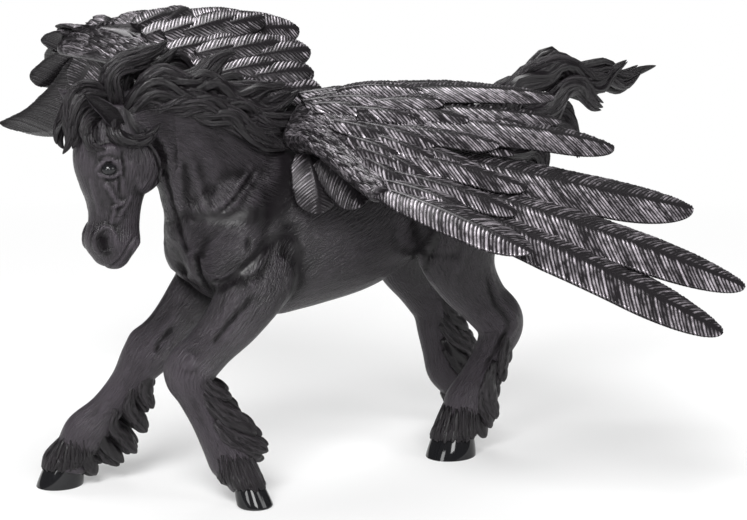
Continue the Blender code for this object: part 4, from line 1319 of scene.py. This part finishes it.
def small_coverts(bag, wing, rng, style):
    """Short feathers that overlap like tiles over the arm and the palm of a wing."""
    rows = smooth_rows(wing["palm"], 6)
    feathers = wing["feathers"]
    for line, (chord, length) in enumerate(wing["covert_rows"]):
        count = 5 + line
        for k in range(count):
            share = (k + 0.5 * (line % 2) + 0.3) / count
            row = rows[int(share * (len(rows) - 1))]
            normal = unit(facing(wing, share))
            rise = row[4] * (1.05 - chord**2) ** 0.5 * 0.95
            place = row[:3] + np.array(AHEAD) * row[3] * chord + normal * rise
            which = feathers[min(int(share * len(feathers)), len(feathers) - 1)]
            course = unit(np.array(which[2]) - np.array(which[0]))
            course = unit(course - normal * (course @ normal))
            whole = np.linalg.norm(np.array(which[2]) - np.array(which[0]))
            reach = min(length, COVERT_SHARE * whole) * rng.uniform(0.85, 1.1)
            if reach < COVERT_SHORTEST:
                continue
            tip = place + course * reach - normal * 0.5
            middle = place + course * reach * 0.5 + normal * 0.7
            half_width = rng.uniform(*COVERT_HALF_WIDTHS)
            feather(bag, place - course * 2, middle, tip, half_width, normal, rng, style)


def down_strokes(bag, wing, verts, faces, rng):
    """Short strokes of down that follow the span over a wing's arm."""
    normals = vertex_normals(verts, faces)
    rows = smooth_rows(wing["arm"], 6)
    tangents = unit(np.gradient(rows[:, :3], axis=0))
    gap, share = path_distance(verts, rows[:, :3])
    index = np.round(share * (len(rows) - 1)).astype(int)
    upright = np.abs(np.einsum("ij,ij->i", normals, tangents[index])) < 0.6
    above = normals @ unit(facing(wing, 0.5)) > 0.15
    near = np.flatnonzero(upright & above & (share < DOWN_END) & (gap < rows[index, 3] * DOWN_REACH))
    for i in rng.choice(near, DOWN_COUNT, replace=False):
        course = tangents[index[i]] + rng.normal(0.0, 0.12, 3) - np.array(AHEAD) * 0.25
        course = unit(course - normals[i] * (course @ normals[i]))
        length = rng.uniform(*DOWN_LENGTHS)
        start = verts[i] - normals[i] * 0.2
        middle = nearest(verts, verts[i] + course * length * 0.5) + normals[i] * 0.12
        end = nearest(verts, verts[i] + course * length) - normals[i] * 0.2
        sizes = (DOWN_HALF_WIDTHS, DOWN_HALF_THICKNESSES)
        # The down gets weaker painted highlight on its strands, and comes out darker.
        lock(bag, [start, middle, end], *sizes, rng, 3, normals[i], sides=8, rows=7, light_scale=0.7)


def middle_coverts(bag, wing, rng, style):
    """A row of half-length feathers over the gaps between the long ones."""
    feathers = wing["feathers"]
    for i, (first, second) in enumerate(zip(feathers[:-1], feathers[1:])):
        normal = unit(facing(wing, (i + 0.5) / len(feathers)))
        root, middle, tip = [(np.array(a) + np.array(b)) / 2 for a, b in zip(first[:3], second[:3])]
        bend = 2 * middle - (root + tip) / 2
        points = []
        for t, lift in ((0.0, 1.0), (0.2, 2.0), (rng.uniform(0.36, 0.42), 1.2)):
            place = root * (1 - t) ** 2 + bend * (2 * t * (1 - t)) + tip * t**2
            points.append(place + normal * lift)
        feather(bag, *points, (first[3] + second[3]) * 0.27, normal, rng, style)


def resampled(rows, count):
    """A table's rows at evenly spaced places along it."""
    old = np.linspace(0, 1, len(rows))
    new = np.linspace(0, 1, count)
    return np.array([np.interp(new, old, column) for column in np.array(rows).T]).T


def add_arm(bag, wing, rng):
    """The arm and the palm of a wing, with down over them."""
    forms = Bag()
    arm, palm = resampled(wing["arm"], 4), resampled(wing["palm"], 4)
    for share in (0.0, 0.35, 0.7, 1.0):
        tube(forms, arm * (1 - share) + palm * share, side=AHEAD)
    verts, faces = fused(forms, ARM_VOXEL)
    bag.add(verts, faces, 0.45, verts, 0.5)
    down_strokes(bag, wing, verts, faces, rng)


def wing_bag(wing, rng, front):
    """One wing: its feathers and its arm. Front is the vane of a feather that is painted lighter; the other
    vane gets painted shade.
    """
    bag = Bag()
    side = math.copysign(1.0, wing["boss"][1])
    long_feathers = wing["feathers"]
    for i, (root, middle, tip, half_width) in enumerate(long_feathers):
        normal = facing(wing, i / (len(long_feathers) - 1))
        feather(bag, root, middle, tip, half_width, normal, rng, {"front": front})
    for i, (root, middle, tip, half_width) in enumerate(wing["coverts"]):
        normal = facing(wing, i / len(wing["coverts"]))
        feather(bag, root, middle, tip, half_width, normal, rng, {"front": front})
    for root, middle, tip, half_width in wing["lobes"]:
        normal = (LOBE_LEAN, side, LOBE_LEAN)
        style = {"front": front, **ARM_LOBE}
        feather(bag, root, middle, tip, half_width * ARM_LOBE_WIDER, normal, rng, style)
    small_coverts(bag, wing, rng, {"front": front, **SMALL_COVERT})
    middle_coverts(bag, wing, rng, {"front": front, **MIDDLE_COVERT})
    add_arm(bag, wing, rng)
    return bag


def add_node(tree, kind, **settings):
    """A shader node with its inputs set."""
    node = tree.nodes.new("ShaderNode" + kind)
    for name, value in settings.items():
        if hasattr(node, name):
            setattr(node, name, value)
        else:
            node.inputs[name.replace("_", " ")].default_value = value
    return node


def grain_noise(tree, stretch, detail=3.0, rough=0.6):
    """Noise drawn out along the coat."""
    coat = add_node(tree, "Attribute", attribute_name="coat")
    mapping = add_node(tree, "Mapping")
    mapping.inputs["Scale"].default_value = stretch
    noise = add_node(tree, "TexNoise", Scale=1.0, Detail=detail, Roughness=rough)
    tree.links.new(coat.outputs["Vector"], mapping.inputs["Vector"])
    tree.links.new(mapping.outputs["Vector"], noise.inputs["Vector"])
    return noise


def ramp(tree, source, stops):
    """A colour ramp on a value."""
    node = tree.nodes.new("ShaderNodeValToRGB")
    elements = node.color_ramp.elements
    while len(elements) < len(stops):
        elements.new(0.5)
    for element, (place, colour) in zip(elements, stops):
        element.position = place
        element.color = (*colour, 1.0) if len(colour) == 3 else (colour[0], colour[0], colour[0], 1.0)
    tree.links.new(source, node.inputs["Fac"])
    return node


def times(tree, first, second, operation="MULTIPLY"):
    """Two values, multiplied or otherwise joined."""
    node = tree.nodes.new("ShaderNodeMath")
    node.operation = operation
    for socket, value in zip(node.inputs, (first, second)):
        if isinstance(value, float):
            socket.default_value = value
        else:
            tree.links.new(value, socket)
    return node.outputs[0]


def painted(name, dark, light, roughness, stretch, bump, metal=0.0, gloss=0.5, streak=0.6):
    """Moulded plastic with a painted highlight on its ridges, painted shade in its creases, and a fine grain
    along the hair.
    """
    material = bpy.data.materials.new(name)
    material.use_nodes = True
    tree = material.node_tree
    shader = tree.nodes["Principled BSDF"]
    ridge = add_node(tree, "Attribute", attribute_name="ridge").outputs["Fac"]
    tone_and_shade = add_node(tree, "Attribute", attribute_name="tone_and_shade").outputs["Fac"]
    noise = grain_noise(tree, stretch)
    patches = add_node(tree, "TexNoise", Scale=90.0, Detail=3.0)
    place = add_node(tree, "TexCoord")
    tree.links.new(place.outputs["Object"], patches.inputs["Vector"])
    # The base colour is painted light: lighter on ridges as painted highlight, darker in creases as painted
    # shade, varied by noise, patches and the per-vertex tone.
    painted_light = ridge
    for source, stops in (
        (noise.outputs["Fac"], [(0.35, (streak,)), (0.65, (1.0,))]),
        (patches.outputs["Fac"], [(0.3, (0.75,)), (0.6, (1.0,))]),
        (tone_and_shade, [(0.0, (0.3,)), (0.8, (1.0,))]),
    ):
        painted_light = times(tree, painted_light, ramp(tree, source, stops).outputs["Color"])
    colour = ramp(tree, painted_light, [(0.2, dark), (0.8, light)])
    tree.links.new(colour.outputs["Color"], shader.inputs["Base Color"])
    low, high = roughness
    sheen = ramp(tree, noise.outputs["Fac"], [(0.3, (low,)), (0.75, (high,))])
    tree.links.new(sheen.outputs["Color"], shader.inputs["Roughness"])
    shader.inputs["Metallic"].default_value = metal
    shine = ramp(tree, ridge, [(0.05, (0.12 * gloss,)), (0.5, (gloss,))])
    tree.links.new(shine.outputs["Color"], shader.inputs["Specular IOR Level"])
    relief = add_node(tree, "Bump", Strength=bump[0], Distance=bump[1] * MM)
    tree.links.new(times(tree, noise.outputs["Fac"], tone_and_shade), relief.inputs["Height"])
    tree.links.new(relief.outputs["Normal"], shader.inputs["Normal"])
    return material


def add_camera():
    """The photo's viewpoint."""
    target = np.array(CAMERA_TARGET)
    level = math.cos(CAMERA_TILT)
    back = np.array((-math.sin(CAMERA_TURN) * level, -math.cos(CAMERA_TURN) * level, math.sin(CAMERA_TILT)))
    camera = bpy.data.cameras.new("camera")
    camera.sensor_width = SENSOR_WIDTH
    camera.lens = FOCAL_PIXELS * SENSOR_WIDTH / PHOTO_WIDTH
    camera.clip_start = 0.01
    camera.clip_end = 20.0
    obj = add_object("camera", camera)
    obj.location = (target + back * CAMERA_DISTANCE) * MM
    obj.rotation_euler = (math.pi / 2 - CAMERA_TILT, 0.0, -CAMERA_TURN)
    bpy.context.scene.camera = obj


def add_lamp(name, place, size, power):
    """A soft lamp that looks at the figurine."""
    lamp = bpy.data.lights.new(name, "AREA")
    lamp.energy = power
    lamp.size = size
    obj = add_object(name, lamp)
    obj.location = place
    away = np.array(place) - (0.0, 0.0, 0.05)
    tilt = math.acos(away[2] / np.linalg.norm(away))
    obj.rotation_euler = (tilt, 0.0, math.atan2(away[1], away[0]) + math.pi / 2)


def seen_directly(tree):
    """One for the rays that show the background: straight, mirrored or through glass."""
    path = add_node(tree, "LightPath")
    straight = times(tree, path.outputs["Is Camera Ray"], path.outputs["Is Glossy Ray"], "MAXIMUM")
    return times(tree, straight, path.outputs["Is Transmission Ray"], "MAXIMUM")


def floor_material():
    """White where it is seen directly, whiter with distance, with the soft shadow kept."""
    material = bpy.data.materials.new("floor")
    material.use_nodes = True
    tree = material.node_tree
    shader = tree.nodes["Principled BSDF"]
    shader.inputs["Base Color"].default_value = (0.8, 0.8, 0.8, 1.0)
    shader.inputs["Roughness"].default_value = 0.8
    place = add_node(tree, "NewGeometry")
    away = add_node(tree, "VectorMath", operation="LENGTH")
    tree.links.new(place.outputs["Position"], away.inputs[0])
    share = ramp(tree, away.outputs["Value"], [(0.12, (0.3,)), (0.45, (1.0,))])
    factor = times(tree, share.outputs["Color"], seen_directly(tree))
    white = add_node(tree, "Emission", Strength=1.0)
    mix = add_node(tree, "MixShader")
    tree.links.new(factor, mix.inputs[0])
    tree.links.new(shader.outputs[0], mix.inputs[1])
    tree.links.new(white.outputs[0], mix.inputs[2])
    tree.links.new(mix.outputs[0], tree.nodes["Material Output"].inputs["Surface"])
    return material


def add_studio():
    """A white floor under a pale sky, with soft lamps."""
    signs = ((-1, -1), (1, -1), (1, 1), (-1, 1))
    corners = [(x * FLOOR_HALF_WIDTH, y * FLOOR_HALF_WIDTH, 0.0) for x, y in signs]
    mesh = bpy.data.meshes.new("floor")
    mesh.from_pydata(corners, [], [(0, 1, 2, 3)])
    mesh.materials.append(floor_material())
    floor = add_object("floor", mesh)
    world = bpy.data.worlds.new("studio")
    bpy.context.scene.world = world
    world.use_nodes = True
    background = world.node_tree.nodes["Background"]
    background.inputs["Color"].default_value = (1.0, 1.0, 1.0, 1.0)
    background.inputs["Strength"].default_value = SKY
    for lamp in LAMPS:
        add_lamp(*lamp)


def build_horse(finishes):
    """The skins, the hair, the hooves and the eyes."""
    rng = np.random.default_rng(7)
    skins = {}
    for name, voxel, triangles, head in (
        ("body_skin", BODY_VOXEL, BODY_TRIANGLES, False),
        ("head_skin", HEAD_VOXEL, HEAD_TRIANGLES, True),
    ):
        bag = Bag()
        skins[name] = add_skin(bag, horse_forms(not head), voxel, triangles, head)
        if head:
            add_ear(bag, 1, rng)
            add_ear(bag, -1, rng)
        obj = piece(name, bag, finishes["skin"])
        if not head:
            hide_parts("horse_body")
    mane = Bag()
    add_hair(mane, MANE + SIDE_LOCKS + FORELOCK, rng, 5)
    piece("mane", mane, finishes["hair"])
    tail = Bag()
    add_hair(tail, TAIL, rng, 6)
    for leg, lobes in LEG_HAIR:
        add_leg_hair(tail, leg, lobes, rng)
    low_skin = skins["body_skin"]
    low_skin = low_skin[low_skin[:, 2] < CORONET_SKIN_BELOW]
    for sizes in HOOVES.values():
        add_coronet_hair(tail, low_skin, *sizes, rng)
    piece("tail_and_leg_hair", tail, finishes["hair"])
    glossy = Bag()
    for sizes in HOOVES.values():
        hoof(glossy, *sizes)
    for side in (1, -1):
        ellipsoid(glossy, mirrored(EYE_CENTRE, side), EYE_HALF_SIZES)
    piece("hooves_and_eyes", glossy, finishes["gloss"])


def build_wings(finishes):
    """Both wings."""
    for name, wing, front, seed in (("left_wing", LEFT_WING, -1, 3), ("right_wing", RIGHT_WING, 1, 5)):
        bag = wing_bag(wing, np.random.default_rng(seed), front)
        obj = piece(name + "_feathers", bag, finishes["feather"])
        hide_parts(name)


def finishes():
    """The materials of the figurine."""
    skin = {"roughness": (0.28, 0.42), "stretch": (0.4, 2.4, 2.4), "bump": (1.0, 0.9), "gloss": 0.33}
    hair = {"roughness": (0.26, 0.42), "stretch": (0.3, 2.2, 2.2), "bump": (1.0, 0.7), "gloss": 0.34}
    feathers = {"roughness": (0.22, 0.38), "stretch": (0.5, 1.0, 1.0), "bump": (0.4, 0.1), "gloss": 0.4}
    gloss = {"roughness": (0.05, 0.1), "stretch": (1.0, 1.0, 1.0), "bump": (0.05, 0.02), "gloss": 0.4}
    return {
        "skin": painted("satin_black", BLACK, BLACK_PAINTED_HIGHLIGHT, **skin),
        "hair": painted("hair_black", BLACK, HAIR_PAINTED_HIGHLIGHT, streak=0.3, **hair),
        "feather": painted("feather", WING_DARK, WING_PAINTED_HIGHLIGHT, metal=0.45, streak=0.35, **feathers),
        "gloss": painted("glossy_black", GLOSS_BLACK, GLOSS_BLACK, **gloss),
    }


def main():
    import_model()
    looks = finishes()
    build_horse(looks)
    build_wings(looks)
    add_studio()
    add_camera()
    bpy.context.scene.view_settings.view_transform = "Standard"


main()
